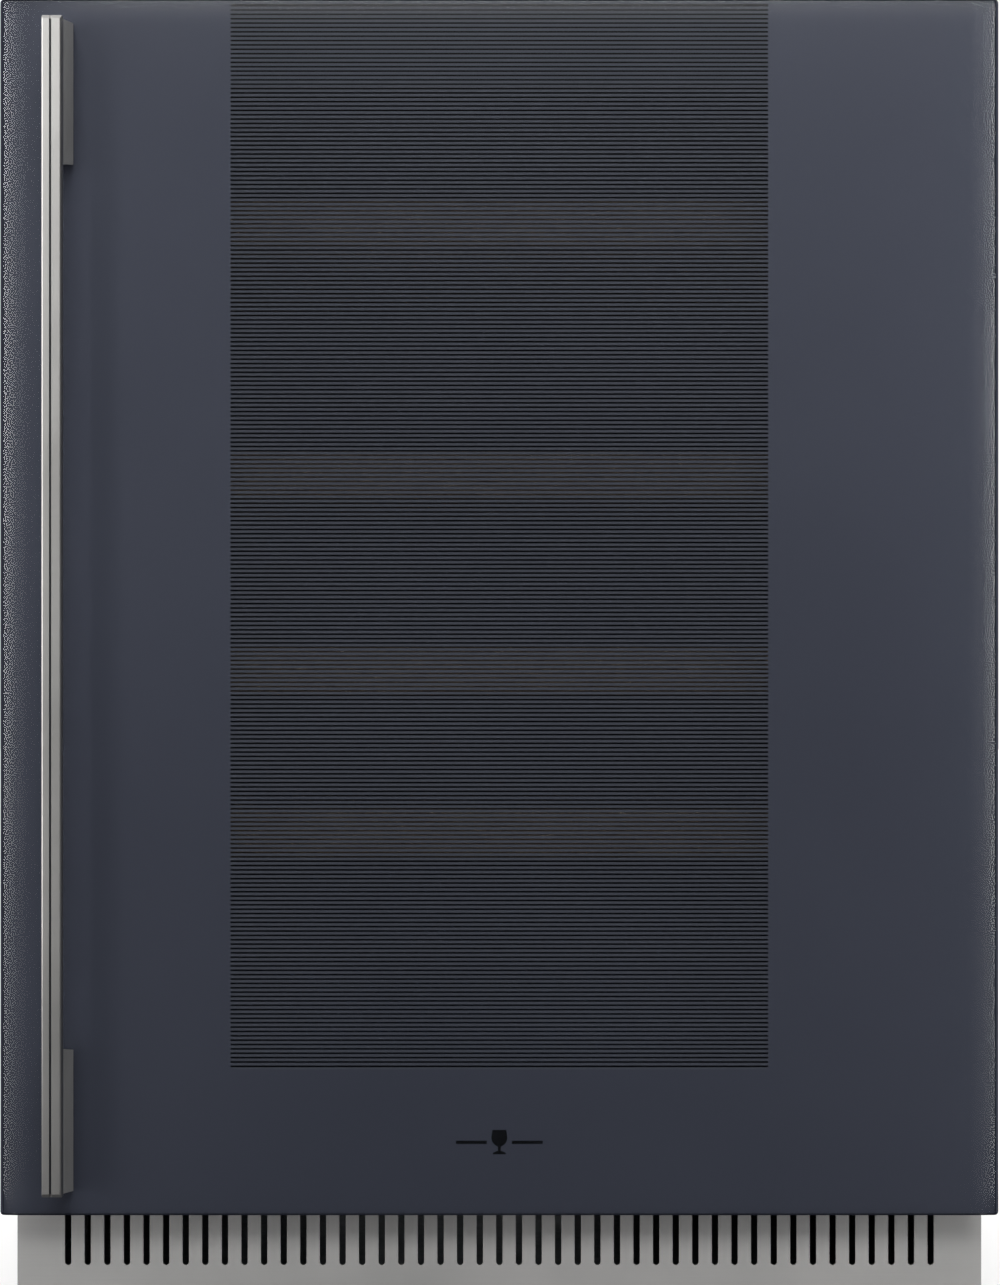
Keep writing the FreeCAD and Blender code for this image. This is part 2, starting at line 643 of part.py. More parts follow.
def door_frame():
    """Two stiles and two rails behind the glass."""
    right = block(half_window, half_door_frame, y_door_frame, y_door_back, z_frame_bottom, z_frame_top)
    left = mirrored(right)
    top = block(-half_window, half_window, y_door_frame, y_door_back, z_window_top, z_frame_top)
    bottom = block(-half_window, half_window, y_door_frame, y_door_back, z_frame_bottom, z_window_bottom)
    right = right.cut(Part.makeCompound(bush_bores(BUSH_RADIUS)))
    cuts = []
    for z in handle_screw_heights():
        cuts.append(rod(SCREW_HOLE, DOOR_FRAME_DEPTH, handle_x, y_door_frame, z, Y_AXIS))
        cuts.append(rod(SCREW_HEAD + 0.5, SCREW_SINK, handle_x, y_door_back - SCREW_SINK, z, Y_AXIS))
    for index in range(0, len(cuts), 2):
        left = left.cut(joined(cuts[index:index + 2]))
    return Part.makeCompound([right, left, top, bottom])


def hinge_bushes():
    """Nylon bushes in the door frame, which turn on the hinge pins."""
    bores = bush_bores(PIN_RADIUS + RUNNING)
    return Part.makeCompound([outer.cut(bore) for outer, bore in zip(bush_bores(BUSH_RADIUS), bores)])


def window_ring(width, y0, y1):
    """A ring of a given width along the inside of the door frame's opening."""
    outer = block(-half_window, half_window, y0, y1, z_window_bottom, z_window_top)
    inner = block(-half_window + width, half_window - width, y0 - 1, y1 + 1,
                  z_window_bottom + width, z_window_top - width)
    return outer.cut(inner)


def pane_planes():
    """Front faces of the middle and inner panes."""
    middle = y_door_frame + PANE_GAP
    return [middle, middle + GLASS + PANE_GAP]


def inner_panes():
    """The middle and inner panes of the triple glazing."""
    panes = [block(-half_window, half_window, y, y + GLASS, z_window_bottom, z_window_top)
             for y in pane_planes()]
    return Part.makeCompound(panes)


def glass_spacers():
    """Spacer bars between the three panes."""
    return Part.makeCompound([window_ring(SPACER_WIDTH, y - PANE_GAP, y) for y in pane_planes()])


def door_trim():
    """The moulded bead that holds the inner pane."""
    y0 = pane_planes()[1] + GLASS
    ring = window_ring(TRIM_WIDTH, y0, y0 + TRIM_DEPTH)
    inside = edges_along(ring, Z_AXIS, lambda p: p.y > y0 + 1 and abs(p.x) < half_window - 1)
    z0, z1 = z_window_bottom + 1, z_window_top - 1
    inside += edges_along(ring, X_AXIS, lambda p: p.y > y0 + 1 and z0 < p.z < z1)
    return ring.makeChamfer(TRIM_DEPTH * 0.6, inside)


def door_gasket():
    """The magnetic seal, as four lengths mitred at the corners."""
    x_outer = half_cabinet - GASKET_INSET - 1.0
    z_low = z_frame_bottom + GASKET_BOTTOM
    z_high = z_casing_top - GASKET_TOP - 1.5
    y0 = y_door_back
    depth = SEAL_GAP - CLEARANCE
    x_inner = x_outer - GASKET_WIDTH
    z_inner_low = z_low + GASKET_WIDTH
    z_inner_high = z_high - GASKET_WIDTH
    outer = [(-x_outer, y0, z_low), (x_outer, y0, z_low), (x_outer, y0, z_high), (-x_outer, y0, z_high)]
    inner = [(-x_inner, y0, z_inner_low), (x_inner, y0, z_inner_low),
             (x_inner, y0, z_inner_high), (-x_inner, y0, z_inner_high)]
    strips = []
    for index in range(4):
        after = (index + 1) % 4
        strips.append(prism([outer[index], outer[after], inner[after], inner[index]], depth, Y_AXIS))
    return Part.makeCompound(strips)


# ---------------------------------------------------------------- handle
def handle_bar():
    """The long bar with a groove down its face."""
    bar = block(handle_x - HANDLE_WIDTH / 2, handle_x + HANDLE_WIDTH / 2, y_handle,
                y_handle + HANDLE_DEPTH, z_handle_bottom, z_handle_top)
    long_edges = edges_along(bar, Z_AXIS, lambda p: p.y < y_handle + 1)
    bar = bar.makeChamfer(HANDLE_CHAMFER, long_edges)
    ends = edges_along(bar, X_AXIS, lambda p: p.y < y_handle + 0.1)
    bar = bar.makeChamfer(HANDLE_END_CHAMFER, ends)
    x = handle_x - GROOVE_OFFSET
    groove = block(x - GROOVE_WIDTH / 2, x + GROOVE_WIDTH / 2, y_handle - 1, y_handle + GROOVE_DEPTH,
                   z_handle_bottom - 1, z_handle_top + 1)
    return bar.cut(groove)


def handle_posts():
    """Two long posts between the bar and the glass, leaning outwards to it."""
    x0 = handle_x - HANDLE_WIDTH / 2
    y0 = y_handle + HANDLE_DEPTH
    middle = (z_handle_bottom + z_handle_top) / 2
    head = z_handle_top - 1.0 - middle
    posts = []
    for side in (-1, 1):
        outline = [(x0, y0, middle + side * head), (x0, y0, middle + side * (head - POST_LENGTH)),
                   (x0, y_glass, middle + side * (head - POST_LENGTH + POST_LEAN)),
                   (x0, y_glass, middle + side * (head + POST_LEAN))]
        posts.append(prism(outline, HANDLE_WIDTH, X_AXIS))
    bores = Part.makeCompound([rod(SCREW_RADIUS, SCREW_GRIP, handle_x, y_glass - SCREW_GRIP, z, Y_AXIS)
                               for z in handle_screw_heights()])
    return Part.makeCompound([post.cut(bores) for post in posts])


def handle_screws():
    """Four screws from inside the door frame into the posts."""
    screws = []
    y_head = y_door_back - SCREW_SINK
    for z in handle_screw_heights():
        shank = rod(SCREW_RADIUS, y_head - y_glass + SCREW_GRIP, handle_x, y_glass - SCREW_GRIP, z, Y_AXIS)
        head = rod(SCREW_HEAD, SCREW_HEAD_HEIGHT, handle_x, y_head, z, Y_AXIS)
        screws.append(joined([shank, head]))
    return Part.makeCompound(screws)


# ---------------------------------------------------------------- shelves
def channel(x_open, x_web, z_centre, height, y0, y1):
    """A runner section: a web with two lips, open towards x_open."""
    side = 1 if x_web > x_open else -1
    outer = block(min(x_open, x_web), max(x_open, x_web), y0, y1,
                  z_centre - height / 2, z_centre + height / 2)
    web = x_web - side * SLIDE_SHEET
    hollow = block(min(x_open, web), max(x_open, web), y0 - 1, y1 + 1,
                   z_centre - height / 2 + SLIDE_SHEET, z_centre + height / 2 - SLIDE_SHEET)
    return outer.cut(hollow)


def runner_rails():
    """The fixed channels on the liner's side walls, two for each shelf."""
    rails = []
    for top in shelf_tops:
        rail = channel(half_cavity - CHANNEL_REACH, half_cavity, top - RUNNER_DROP, CHANNEL_HEIGHT,
                       y_slide - 2.0, y_shelf_back - 10.0)
        rails += [rail, mirrored(rail)]
    return Part.makeCompound(rails)


def runner_slides(top):
    """The moving rails on one shelf's sides, which run in the channels."""
    rail = channel(half_cavity - SLIDE_SHEET - SLIDE_PLAY, half_slide, top - RUNNER_DROP, SLIDE_HEIGHT,
                   y_slide, y_shelf_back - 10.0)
    return pair(rail)


def shelf_front(top):
    """The wooden front edge of a shelf."""
    front = block(-half_front, half_front, y_shelf, y_shelf + FRONT_THICKNESS, top - FRONT_HEIGHT, top)
    upper = edges_along(front, X_AXIS, lambda p: p.y < y_shelf + 0.1)
    return front.makeFillet(FRONT_ROUND, upper)


def shelf_rack(top):
    """Side rails and scalloped slats, which carry the bottles."""
    y0 = y_shelf + FRONT_THICKNESS
    rail = block(half_slide - RAIL_WIDTH, half_slide, y0, y_shelf_back,
                 top - RAIL_DROP - RAIL_HEIGHT, top - RAIL_DROP)
    half_slat = half_slide - RAIL_WIDTH
    pitch = (y_shelf_back - y0 - SLAT_WIDTH) / (SLAT_COUNT - 1)
    slat_top = top - SLAT_DROP
    slats = [block(-half_slat, half_slat, y0 + index * pitch, y0 + index * pitch + SLAT_WIDTH,
                   slat_top - SLAT_THICKNESS, slat_top) for index in range(SLAT_COUNT)]
    rack = joined([rail, mirrored(rail)] + slats)
    first = -BOTTLE_PITCH * (BOTTLE_COUNT - 1) / 2
    bottles = [rod(BOTTLE_RADIUS, y_shelf_back - y0, first + index * BOTTLE_PITCH, y0,
                   slat_top - SCALLOP_DEPTH + BOTTLE_RADIUS, Y_AXIS) for index in range(BOTTLE_COUNT)]
    return rack.cut(Part.makeCompound(bottles))


# ---------------------------------------------------------------- console
def button_cap(x):
    """A round push button with a flange behind the console's wall."""
    z = z_console + CONSOLE_HEIGHT / 2
    cap = rod(BUTTON_RADIUS, BUTTON_LENGTH, x, y_console - BUTTON_PROUD, z, Y_AXIS)
    front = [edge for edge in cap.Edges if edge.BoundBox.YMax < y_console - BUTTON_PROUD + 0.01]
    cap = cap.makeFillet(0.8, front)
    flange = rod(BUTTON_FLANGE, 1.0, x, y_console + CONSOLE_WALL + CLEARANCE, z, Y_AXIS)
    return joined([cap, flange])


def display_window(y0, y1):
    """The block that the display lens fills."""
    z = z_console + CONSOLE_HEIGHT / 2
    return block(-DISPLAY_HALF, DISPLAY_HALF, y0, y1, z - DISPLAY_HEIGHT / 2, z + DISPLAY_HEIGHT / 2)


def console_housing():
    """The control console under the cavity's ceiling, open at its top."""
    y1 = y_console + CONSOLE_DEPTH
    shell = block(-CONSOLE_HALF, CONSOLE_HALF, y_console, y1, z_console, z_ceiling)
    front_low = edges_along(shell, X_AXIS, lambda p: p.z < z_console + 0.1)
    shell = shell.makeFillet(1.5, front_low)
    hollow = block(-CONSOLE_HALF + CONSOLE_WALL, CONSOLE_HALF - CONSOLE_WALL, y_console + CONSOLE_WALL,
                   y1 - CONSOLE_WALL, z_console + CONSOLE_FLOOR, z_ceiling + 1)
    cuts = [hollow, display_window(y_console - 1, y_console + CONSOLE_WALL + 1)]
    for x in BUTTON_PLACES.values():
        cuts.append(rod(BUTTON_RADIUS + CLEARANCE, CONSOLE_WALL + 2, x, y_console - 1,
                        z_console + CONSOLE_HEIGHT / 2, Y_AXIS))
    for cut in cuts:
        shell = shell.cut(cut)
    return shell


def display_lens():
    """The smoked lens in the console's face."""
    return display_window(y_console - DISPLAY_PROUD, y_console + CONSOLE_WALL)


def console_board():
    """The circuit board on edge behind the buttons."""
    y0 = y_console + BOARD_SETBACK
    return block(-CONSOLE_HALF + CONSOLE_WALL + 5.0, CONSOLE_HALF - CONSOLE_WALL - 5.0, y0, y0 + BOARD,
                 z_console + CONSOLE_FLOOR, z_ceiling - 1.0)


def light_strip():
    """The lamp lens on the ceiling behind the console."""
    y0 = y_console + CONSOLE_DEPTH + 14.0
    strip = block(-LIGHT_HALF, LIGHT_HALF, y0, y0 + LIGHT_WIDTH, z_ceiling - LIGHT_HEIGHT, z_ceiling)
    low = edges_along(strip, X_AXIS, lambda p: p.z < z_ceiling - 1)
    return strip.makeFillet(2.5, low)


# ---------------------------------------------------------------- coils and fans
def coil(length, depth, height, rows, fin_count):
    """Fins on tubes: tubes run along X, fins stand across them, from a corner at the origin."""
    pitch = (length - FIN) / (fin_count - 1)
    fins = [block(index * pitch, index * pitch + FIN, 0, depth, 0, height) for index in range(fin_count)]
    row_pitch = height / rows
    tubes = []
    for row in range(rows):
        for column in (0.27, 0.73):
            tubes.append(rod(COIL_TUBE, length, 0, depth * column, (row + 0.5) * row_pitch, X_AXIS))
    return joined(fins + tubes)


def evaporator():
    """The cold coil behind the cover."""
    z0 = z_step + EVAPORATOR_RISE
    z1 = z_cold_fan - COLD_FAN_GAP
    fin_count = int(2 * EVAPORATOR_HALF / COLD_FIN_PITCH) + 1
    rows = max(2, int((z1 - z0) / COLD_ROW_PITCH))
    shape = coil(2 * EVAPORATOR_HALF, EVAPORATOR_DEPTH, z1 - z0, rows, fin_count)
    return shape.translated(Vector(-EVAPORATOR_HALF, y_cover, z0))


def condenser():
    """The warm coil beside its fan."""
    rows = int(CONDENSER_HEIGHT / CONDENSER_ROW_PITCH)
    fin_count = int(2 * CONDENSER_HALF_Y / CONDENSER_FIN_PITCH) + 1
    shape = coil(2 * CONDENSER_HALF_Y, CONDENSER_DEPTH_X, CONDENSER_HEIGHT, rows, fin_count)
    shape = shape.rotated(Vector(0, 0, 0), Z_AXIS, 90)
    corner = Vector(CONDENSER_LEFT + CONDENSER_DEPTH_X, y_condenser - CONDENSER_HALF_Y, CONDENSER_BOTTOM)
    shape = shape.translated(corner)
    z_out = CONDENSER_BOTTOM + CONDENSER_HEIGHT
    feet = [block(CONDENSER_LEFT, CONDENSER_LEFT + CONDENSER_DEPTH_X, y, y + FIN, z_bay_floor, z_out)
            for y in (y_condenser - CONDENSER_HALF_Y, y_condenser + CONDENSER_HALF_Y - FIN)]
    return joined([shape] + feet)


def impeller(tip, hub, z0, z1, blades, chord, shaft, shaft_length):
    """Hub, blades and shaft about the Z axis, with the shaft towards +Z."""
    middle = (z0 + z1) / 2
    pieces = [rod(hub, z1 - z0, 0, 0, z0, Z_AXIS), rod(shaft, shaft_length, 0, 0, z1, Z_AXIS)]
    for index in range(blades):
        blade = block(hub - 2.0, tip + 5.0, -chord / 2, chord / 2, -0.8, 0.8)
        blade = blade.rotated(Vector(0, 0, 0), X_AXIS, 32)
        blade = blade.translated(Vector(0, 0, middle))
        pieces.append(blade.rotated(Vector(0, 0, 0), Z_AXIS, 360.0 * index / blades))
    disc = rod(tip, z1 - z0 + shaft_length + 20, 0, 0, z0 - 10, Z_AXIS)
    return joined(pieces).common(disc)


def spider(post_circle, motor, z_plate_back, z_arms):
    """Three posts and arms that carry a motor behind a fan's plate."""
    pieces = [rod(motor + 3.0, 4.0, 0, 0, z_arms, Z_AXIS)]
    for index in range(3):
        post = rod(3.0, z_arms + 4.0 - z_plate_back, post_circle, 0, z_plate_back, Z_AXIS)
        arm = block(motor, post_circle, -2.5, 2.5, z_arms, z_arms + 4.0)
        for piece in (post, arm):
            pieces.append(piece.rotated(Vector(0, 0, 0), Z_AXIS, 90 + 120.0 * index))
    return joined(pieces).cut(rod(motor, 60.0, 0, 0, z_arms - 1, Z_AXIS))


def fan_motor(radius, z0, z1, shaft, bore_depth):
    """A motor can with a blind bore for the fan's shaft."""
    can = rod(radius, z1 - z0, 0, 0, z0, Z_AXIS)
    rim = [edge for edge in can.Edges if edge.BoundBox.ZMin > z1 - 0.01]
    can = can.makeFillet(2.0, rim)
    return can.cut(rod(shaft + RUNNING, bore_depth, 0, 0, z0, Z_AXIS))


def in_cold_fan(shape):
    """Place a fan piece on the cold fan's axis: its +Z becomes +Y."""
    turned = shape.rotated(Vector(0, 0, 0), X_AXIS, -90)
    return turned.translated(Vector(0, y_cover, z_cold_fan))


def in_hot_fan(shape):
    """Place a fan piece on the condenser fan's axis: its +Z becomes +X."""
    turned = shape.rotated(Vector(0, 0, 0), Y_AXIS, 90)
    return turned.translated(Vector(x_shroud, y_condenser, z_hot_fan))


def evaporator_fan_bracket():
    """The ring and arms that hold the cold fan's motor."""
    ring = rod(COLD_RING_OUTER, COLD_RING, 0, 0, 0, Z_AXIS)
    ring = ring.cut(rod(COLD_RING_INNER, COLD_RING, 0, 0, 0, Z_AXIS))
    post_circle = (COLD_RING_OUTER + COLD_RING_INNER) / 2
    arms = spider(post_circle, COLD_MOTOR["radius"], COLD_RING, COLD_MOTOR["z0"] + 1.0)
    return in_cold_fan(joined([ring, arms]))


def condenser_shroud():
    """The square plate, skirt and arms round the condenser's fan."""
    half_height = CONDENSER_HEIGHT / 2
    below = z_hot_fan - z_bay_floor
    plate = block(-half_height, below, -SHROUD_HALF, SHROUD_HALF, 0, SHROUD)
    skirt = block(-half_height, half_height, -SHROUD_HALF, SHROUD_HALF, -SHROUD_SKIRT, 0)
    hollow = block(-half_height + 3, half_height - 3, -SHROUD_HALF + 3, SHROUD_HALF - 3, -SHROUD_SKIRT, 0)
    shroud = joined([plate, skirt.cut(hollow)])
    shroud = shroud.cut(rod(SHROUD_HALF - 6.0, SHROUD, 0, 0, 0, Z_AXIS))
    arms = spider(SHROUD_HALF - 3.0, HOT_MOTOR["radius"], SHROUD, HOT_MOTOR["z0"] + 9.0)
    return in_hot_fan(joined([shroud, arms]))


def fan_motors():
    """The two fans' motors."""
    cold = in_cold_fan(fan_motor(**COLD_MOTOR))
    hot = in_hot_fan(fan_motor(**HOT_MOTOR))
    return Part.makeCompound([cold, hot])


def evaporator_cover():
    """The panel in front of the cold coil, with its fan mouth and air slots."""
    panel = block(-half_cavity, half_cavity, y_cover_front, y_cover, z_step, z_ceiling)
    cuts = [rod(COVER_MOUTH, COVER + 2, 0, y_cover_front - 1, z_cold_fan, Y_AXIS)]
    for index in range(COVER_SLOTS):
        x = (index - (COVER_SLOTS - 1) / 2) * COVER_SLOT_PITCH
        cuts.append(block(x - COVER_SLOT_HALF, x + COVER_SLOT_HALF, y_cover_front - 1, y_cover + 1,
                          z_step + COVER_SLOT_FOOT, z_step + COVER_SLOT_HEAD))
    return panel.cut(Part.makeCompound(cuts))


def carbon_filter():
    """The round odour filter on the cover."""
    body = rod(FILTER_RADIUS, FILTER_DEPTH, FILTER_X, y_cover_front - FILTER_DEPTH, z_cold_fan, Y_AXIS)
    front = [edge for edge in body.Edges if edge.BoundBox.YMax < y_cover_front - FILTER_DEPTH + 0.01]
    return body.makeFillet(2.0, front)


# ---------------------------------------------------------------- machine bay
def mount_places():
    """Centres of the compressor's rubber mounts."""
    x = PLATE_HALF_X - MOUNT_INSET
    y = PLATE_HALF_Y - MOUNT_INSET
    return [(COMPRESSOR_X + sx * x, y_compressor + sy * y) for sx in (-1, 1) for sy in (-1, 1)]


def compressor():
    """The sealed compressor: pot, seam, plate and two tube stubs."""
    pot = rod(COMPRESSOR_RADIUS, COMPRESSOR_HEIGHT, COMPRESSOR_X, y_compressor, z_compressor, Z_AXIS)
    rims = [edge for edge in pot.Edges if isinstance(edge.Curve, Part.Circle)]
    pot = pot.makeFillet(COMPRESSOR_ROUND, rims)
    z_seam = z_compressor + COMPRESSOR_HEIGHT * 0.52
    seam = rod(COMPRESSOR_RADIUS + COMPRESSOR_FLANGE, 4.0, COMPRESSOR_X, y_compressor, z_seam, Z_AXIS)
    plate = block(COMPRESSOR_X - PLATE_HALF_X, COMPRESSOR_X + PLATE_HALF_X, y_compressor - PLATE_HALF_Y,
                  y_compressor + PLATE_HALF_Y, z_plate, z_compressor)
    stub_length = COMPRESSOR_RADIUS + COMPRESSOR_STUB
    stubs = [rod(5.0, stub_length, COMPRESSOR_X - stub_length, y_compressor + y, z, X_AXIS)
             for y, z in compressor_stubs()]
    return joined([pot, seam, plate] + stubs)


def compressor_stubs():
    """Discharge and suction stubs: (y from the axis, height)."""
    return [(-15.0, z_compressor + 45.0), (15.0, z_compressor + 100.0)]


def compressor_mounts():
    """Four rubber grommets under the compressor's plate."""
    mounts = []
    for x, y in mount_places():
        body = rod(MOUNT_RADIUS, PLATE_RISE, x, y, z_bay_floor, Z_AXIS)
        waist = rod(MOUNT_RADIUS + 1, 4.0, x, y, z_bay_floor + PLATE_RISE / 2, Z_AXIS)
        core = rod(MOUNT_RADIUS - 2.5, 4.0, x, y, z_bay_floor + PLATE_RISE / 2, Z_AXIS)
        mounts.append(body.cut(waist.cut(core)))
    return Part.makeCompound(mounts)


def drip_tray():
    """The tray on the warm compressor that dries off the melt water."""
    z0 = z_compressor_top
    outer = block(COMPRESSOR_X - TRAY_HALF, COMPRESSOR_X + TRAY_HALF, y_compressor - TRAY_HALF,
                  y_compressor + TRAY_HALF, z0, z0 + TRAY_HEIGHT)
    outer = outer.makeFillet(8.0, edges_along(outer, Z_AXIS, lambda p: True))
    half = TRAY_HALF - TRAY_WALL
    inner = block(COMPRESSOR_X - half, COMPRESSOR_X + half, y_compressor - half, y_compressor + half,
                  z0 + TRAY_WALL, z0 + TRAY_HEIGHT + 1)
    inner = inner.makeFillet(8.0 - TRAY_WALL, edges_along(inner, Z_AXIS, lambda p: True))
    return outer.cut(inner)


def refrigerant_pipes():
    """Discharge, suction and liquid lines, with the drier and the capillary."""
    x_stub = COMPRESSOR_X - COMPRESSOR_RADIUS - COMPRESSOR_STUB
    (y_out, z_out), (y_in, z_in) = compressor_stubs()
    y_back = y_condenser + CONDENSER_HALF_Y + 36.0
    x_inlet = CONDENSER_LEFT + CONDENSER_DEPTH_X - 12.0
    z_inlet = CONDENSER_BOTTOM + CONDENSER_HEIGHT - 15.0
    y_coil = y_condenser + CONDENSER_HALF_Y
    discharge = pipe([(x_stub, y_compressor + y_out, z_out), (x_stub - 40, y_compressor + y_out, z_out),
                      (x_stub - 40, y_back, z_out), (x_stub - 40, y_back, z_inlet),
                      (x_inlet, y_back, z_inlet), (x_inlet, y_coil, z_inlet)], PIPE_RADIUS, PIPE_BEND)
    suction = pipe([(x_stub, y_compressor + y_in, z_in), (x_stub - 20, y_compressor + y_in, z_in),
                    (x_stub - 20, y_compressor + y_in, z_bay_top)], PIPE_RADIUS, PIPE_BEND)
    x_liquid = CONDENSER_LEFT + 18.0
    z_liquid = CONDENSER_BOTTOM + 20.0
    z_drier = z_liquid + 32.0
    liquid = pipe([(x_liquid, y_coil, z_liquid), (x_liquid, y_back, z_liquid),
                   (x_liquid, y_back, z_drier)], PIPE_RADIUS, PIPE_BEND)
    drier = rod(DRIER_RADIUS, DRIER_LENGTH, x_liquid, y_back, z_drier, Z_AXIS)
    ends = [edge for edge in drier.Edges if isinstance(edge.Curve, Part.Circle)]
    drier = drier.makeFillet(5.0, ends)
    z_cap = z_drier + DRIER_LENGTH
    capillary = rod(CAPILLARY_RADIUS, z_bay_top - z_cap, x_liquid, y_back, z_cap, Z_AXIS)
    return Part.makeCompound([discharge, suction, liquid, drier, capillary])


def power_inlet():
    """The mains inlet block in the bay's rear cover."""
    half = INLET_WIDTH / 2
    z0 = INLET_Z - INLET_HEIGHT / 2
    z1 = INLET_Z + INLET_HEIGHT / 2
    body = block(INLET_X - half, INLET_X + half, y_panel_back - INLET_DEPTH, y_panel_back, z0, z1)
    reach = half + INLET_FLANGE
    rim = block(INLET_X - reach, INLET_X + reach, y_panel_back, y_rear - 0.5,
                z0 - INLET_FLANGE, z1 + INLET_FLANGE)
    body = joined([body, rim])
    y_pin = y_panel_back - INLET_DEPTH + INLET_BACK
    socket = block(INLET_X - half + INLET_WALL, INLET_X + half - INLET_WALL, y_pin, y_rear,
                   z0 + INLET_WALL, z1 - INLET_WALL)
    body = body.cut(socket)
    pins = [block(INLET_X + dx - 1, INLET_X + dx + 1, y_pin, y_pin + PIN_REACH,
                  INLET_Z + dz - 2, INLET_Z + dz + 2) for dx, dz in ((-6.0, -2.0), (0.0, 3.0), (6.0, -2.0))]
    return joined([body] + pins)


# ---------------------------------------------------------------- write every sub-part
os.makedirs("parts", exist_ok=True)

save("front_frame", front_frame())
save("casing_panels", casing_panels())
save("rear_panels", rear_panels())
save("base_pan", base_pan())
save("bay_partition", bay_partition())
save("foam_insulation", foam_insulation())
save("inner_liner", inner_liner())
save("worktop_tabs", worktop_tabs())
save("plinth_grille", plinth_grille())
save("hinge_brackets", hinge_brackets())
save("cabinet_screws", cabinet_screws())
for place, (foot_x, foot_y) in foot_places().items():
    save("foot_" + place, foot(foot_x, foot_y))

save("outer_glass", outer_glass())
save("door_frame", door_frame())
save("hinge_bushes", hinge_bushes())
save("inner_panes", inner_panes())
save("glass_spacers", glass_spacers())
save("door_trim", door_trim())
save("door_gasket", door_gasket())
save("handle_bar", handle_bar())
save("handle_posts", handle_posts())
save("handle_screws", handle_screws())

save("runner_rails", runner_rails())
for number, shelf_top in enumerate(shelf_tops, start=1):
    save(f"runner_slides_{number}", runner_slides(shelf_top))
    save(f"shelf_front_{number}", shelf_front(shelf_top))
    save(f"shelf_rack_{number}", shelf_rack(shelf_top))

save("console_housing", console_housing())
save("display_lens", display_lens())
save("console_board", console_board())
for label, button_x in BUTTON_PLACES.items():
    save("button_" + label, button_cap(button_x))
save("light_strip", light_strip())

save("evaporator", evaporator())
save("evaporator_cover", evaporator_cover())
save("evaporator_fan_bracket", evaporator_fan_bracket())
save("evaporator_impeller", in_cold_fan(impeller(**COLD_FAN)))
save("carbon_filter", carbon_filter())
save("condenser", condenser())
save("condenser_shroud", condenser_shroud())
save("condenser_impeller", in_hot_fan(impeller(**HOT_FAN)))
save("fan_motors", fan_motors())
save("compressor", compressor())
save("compressor_mounts", compressor_mounts())
save("drip_tray", drip_tray())
save("refrigerant_pipes", refrigerant_pipes())
save("power_inlet", power_inlet())
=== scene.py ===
import math
import bmesh
import bpy
import numpy as np
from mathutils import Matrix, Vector


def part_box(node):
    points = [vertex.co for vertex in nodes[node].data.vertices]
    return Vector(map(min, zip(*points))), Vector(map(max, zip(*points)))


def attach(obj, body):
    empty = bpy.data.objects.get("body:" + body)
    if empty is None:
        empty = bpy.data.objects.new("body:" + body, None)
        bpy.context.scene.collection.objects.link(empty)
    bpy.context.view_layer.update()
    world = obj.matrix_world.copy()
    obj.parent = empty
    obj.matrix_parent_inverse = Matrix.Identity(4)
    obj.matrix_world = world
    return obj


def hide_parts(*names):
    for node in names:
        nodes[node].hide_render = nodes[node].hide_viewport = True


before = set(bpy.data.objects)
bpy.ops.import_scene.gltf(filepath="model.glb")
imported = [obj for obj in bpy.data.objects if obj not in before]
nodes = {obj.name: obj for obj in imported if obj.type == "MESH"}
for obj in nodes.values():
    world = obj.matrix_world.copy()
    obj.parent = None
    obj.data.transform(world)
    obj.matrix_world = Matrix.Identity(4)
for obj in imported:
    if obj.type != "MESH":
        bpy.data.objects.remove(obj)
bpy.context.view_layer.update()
scene = bpy.context.scene
mm = 0.001


def hexColour(text):
    # sRGB hex to the linear colour that a shader takes
    parts = np.array([int(text[i:i + 2], 16) for i in (1, 3, 5)]) / 255.0
    linear = np.where(parts <= 0.04045, parts / 12.92, ((parts + 0.055) / 1.055) ** 2.4)
    return (*[float(part) for part in linear], 1.0)


def addNode(tree, kind, settings=None, links=None):
    # a setting named like a socket goes on the socket, any other on the node itself
    node = tree.nodes.new(kind)
    for key, value in (settings or {}).items():
        if isinstance(key, int) or key in node.inputs:
            node.inputs[key].default_value = value
        else:
            setattr(node, key, value)
    for key, source in (links or {}).items():
        tree.links.new(source, node.inputs[key])
    return node


# camera, lights and floor
cameraSettings = {"lens": 75.0, "sensor": 36.0, "distance": 1.6, "x": 0.0004, "z": 0.4334, "clip": 0.05}
glassLow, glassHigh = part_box("outer_glass")
cameraData = bpy.data.cameras.new("camera")
cameraData.lens = cameraSettings["lens"]
cameraData.sensor_width = cameraSettings["sensor"]
cameraData.clip_start = cameraSettings["clip"]
camera = bpy.data.objects.new("camera", cameraData)
camera.location = (cameraSettings["x"], glassLow.y - cameraSettings["distance"], cameraSettings["z"])
camera.rotation_euler = (math.radians(90), 0, 0)
scene.collection.objects.link(camera)
scene.camera = camera

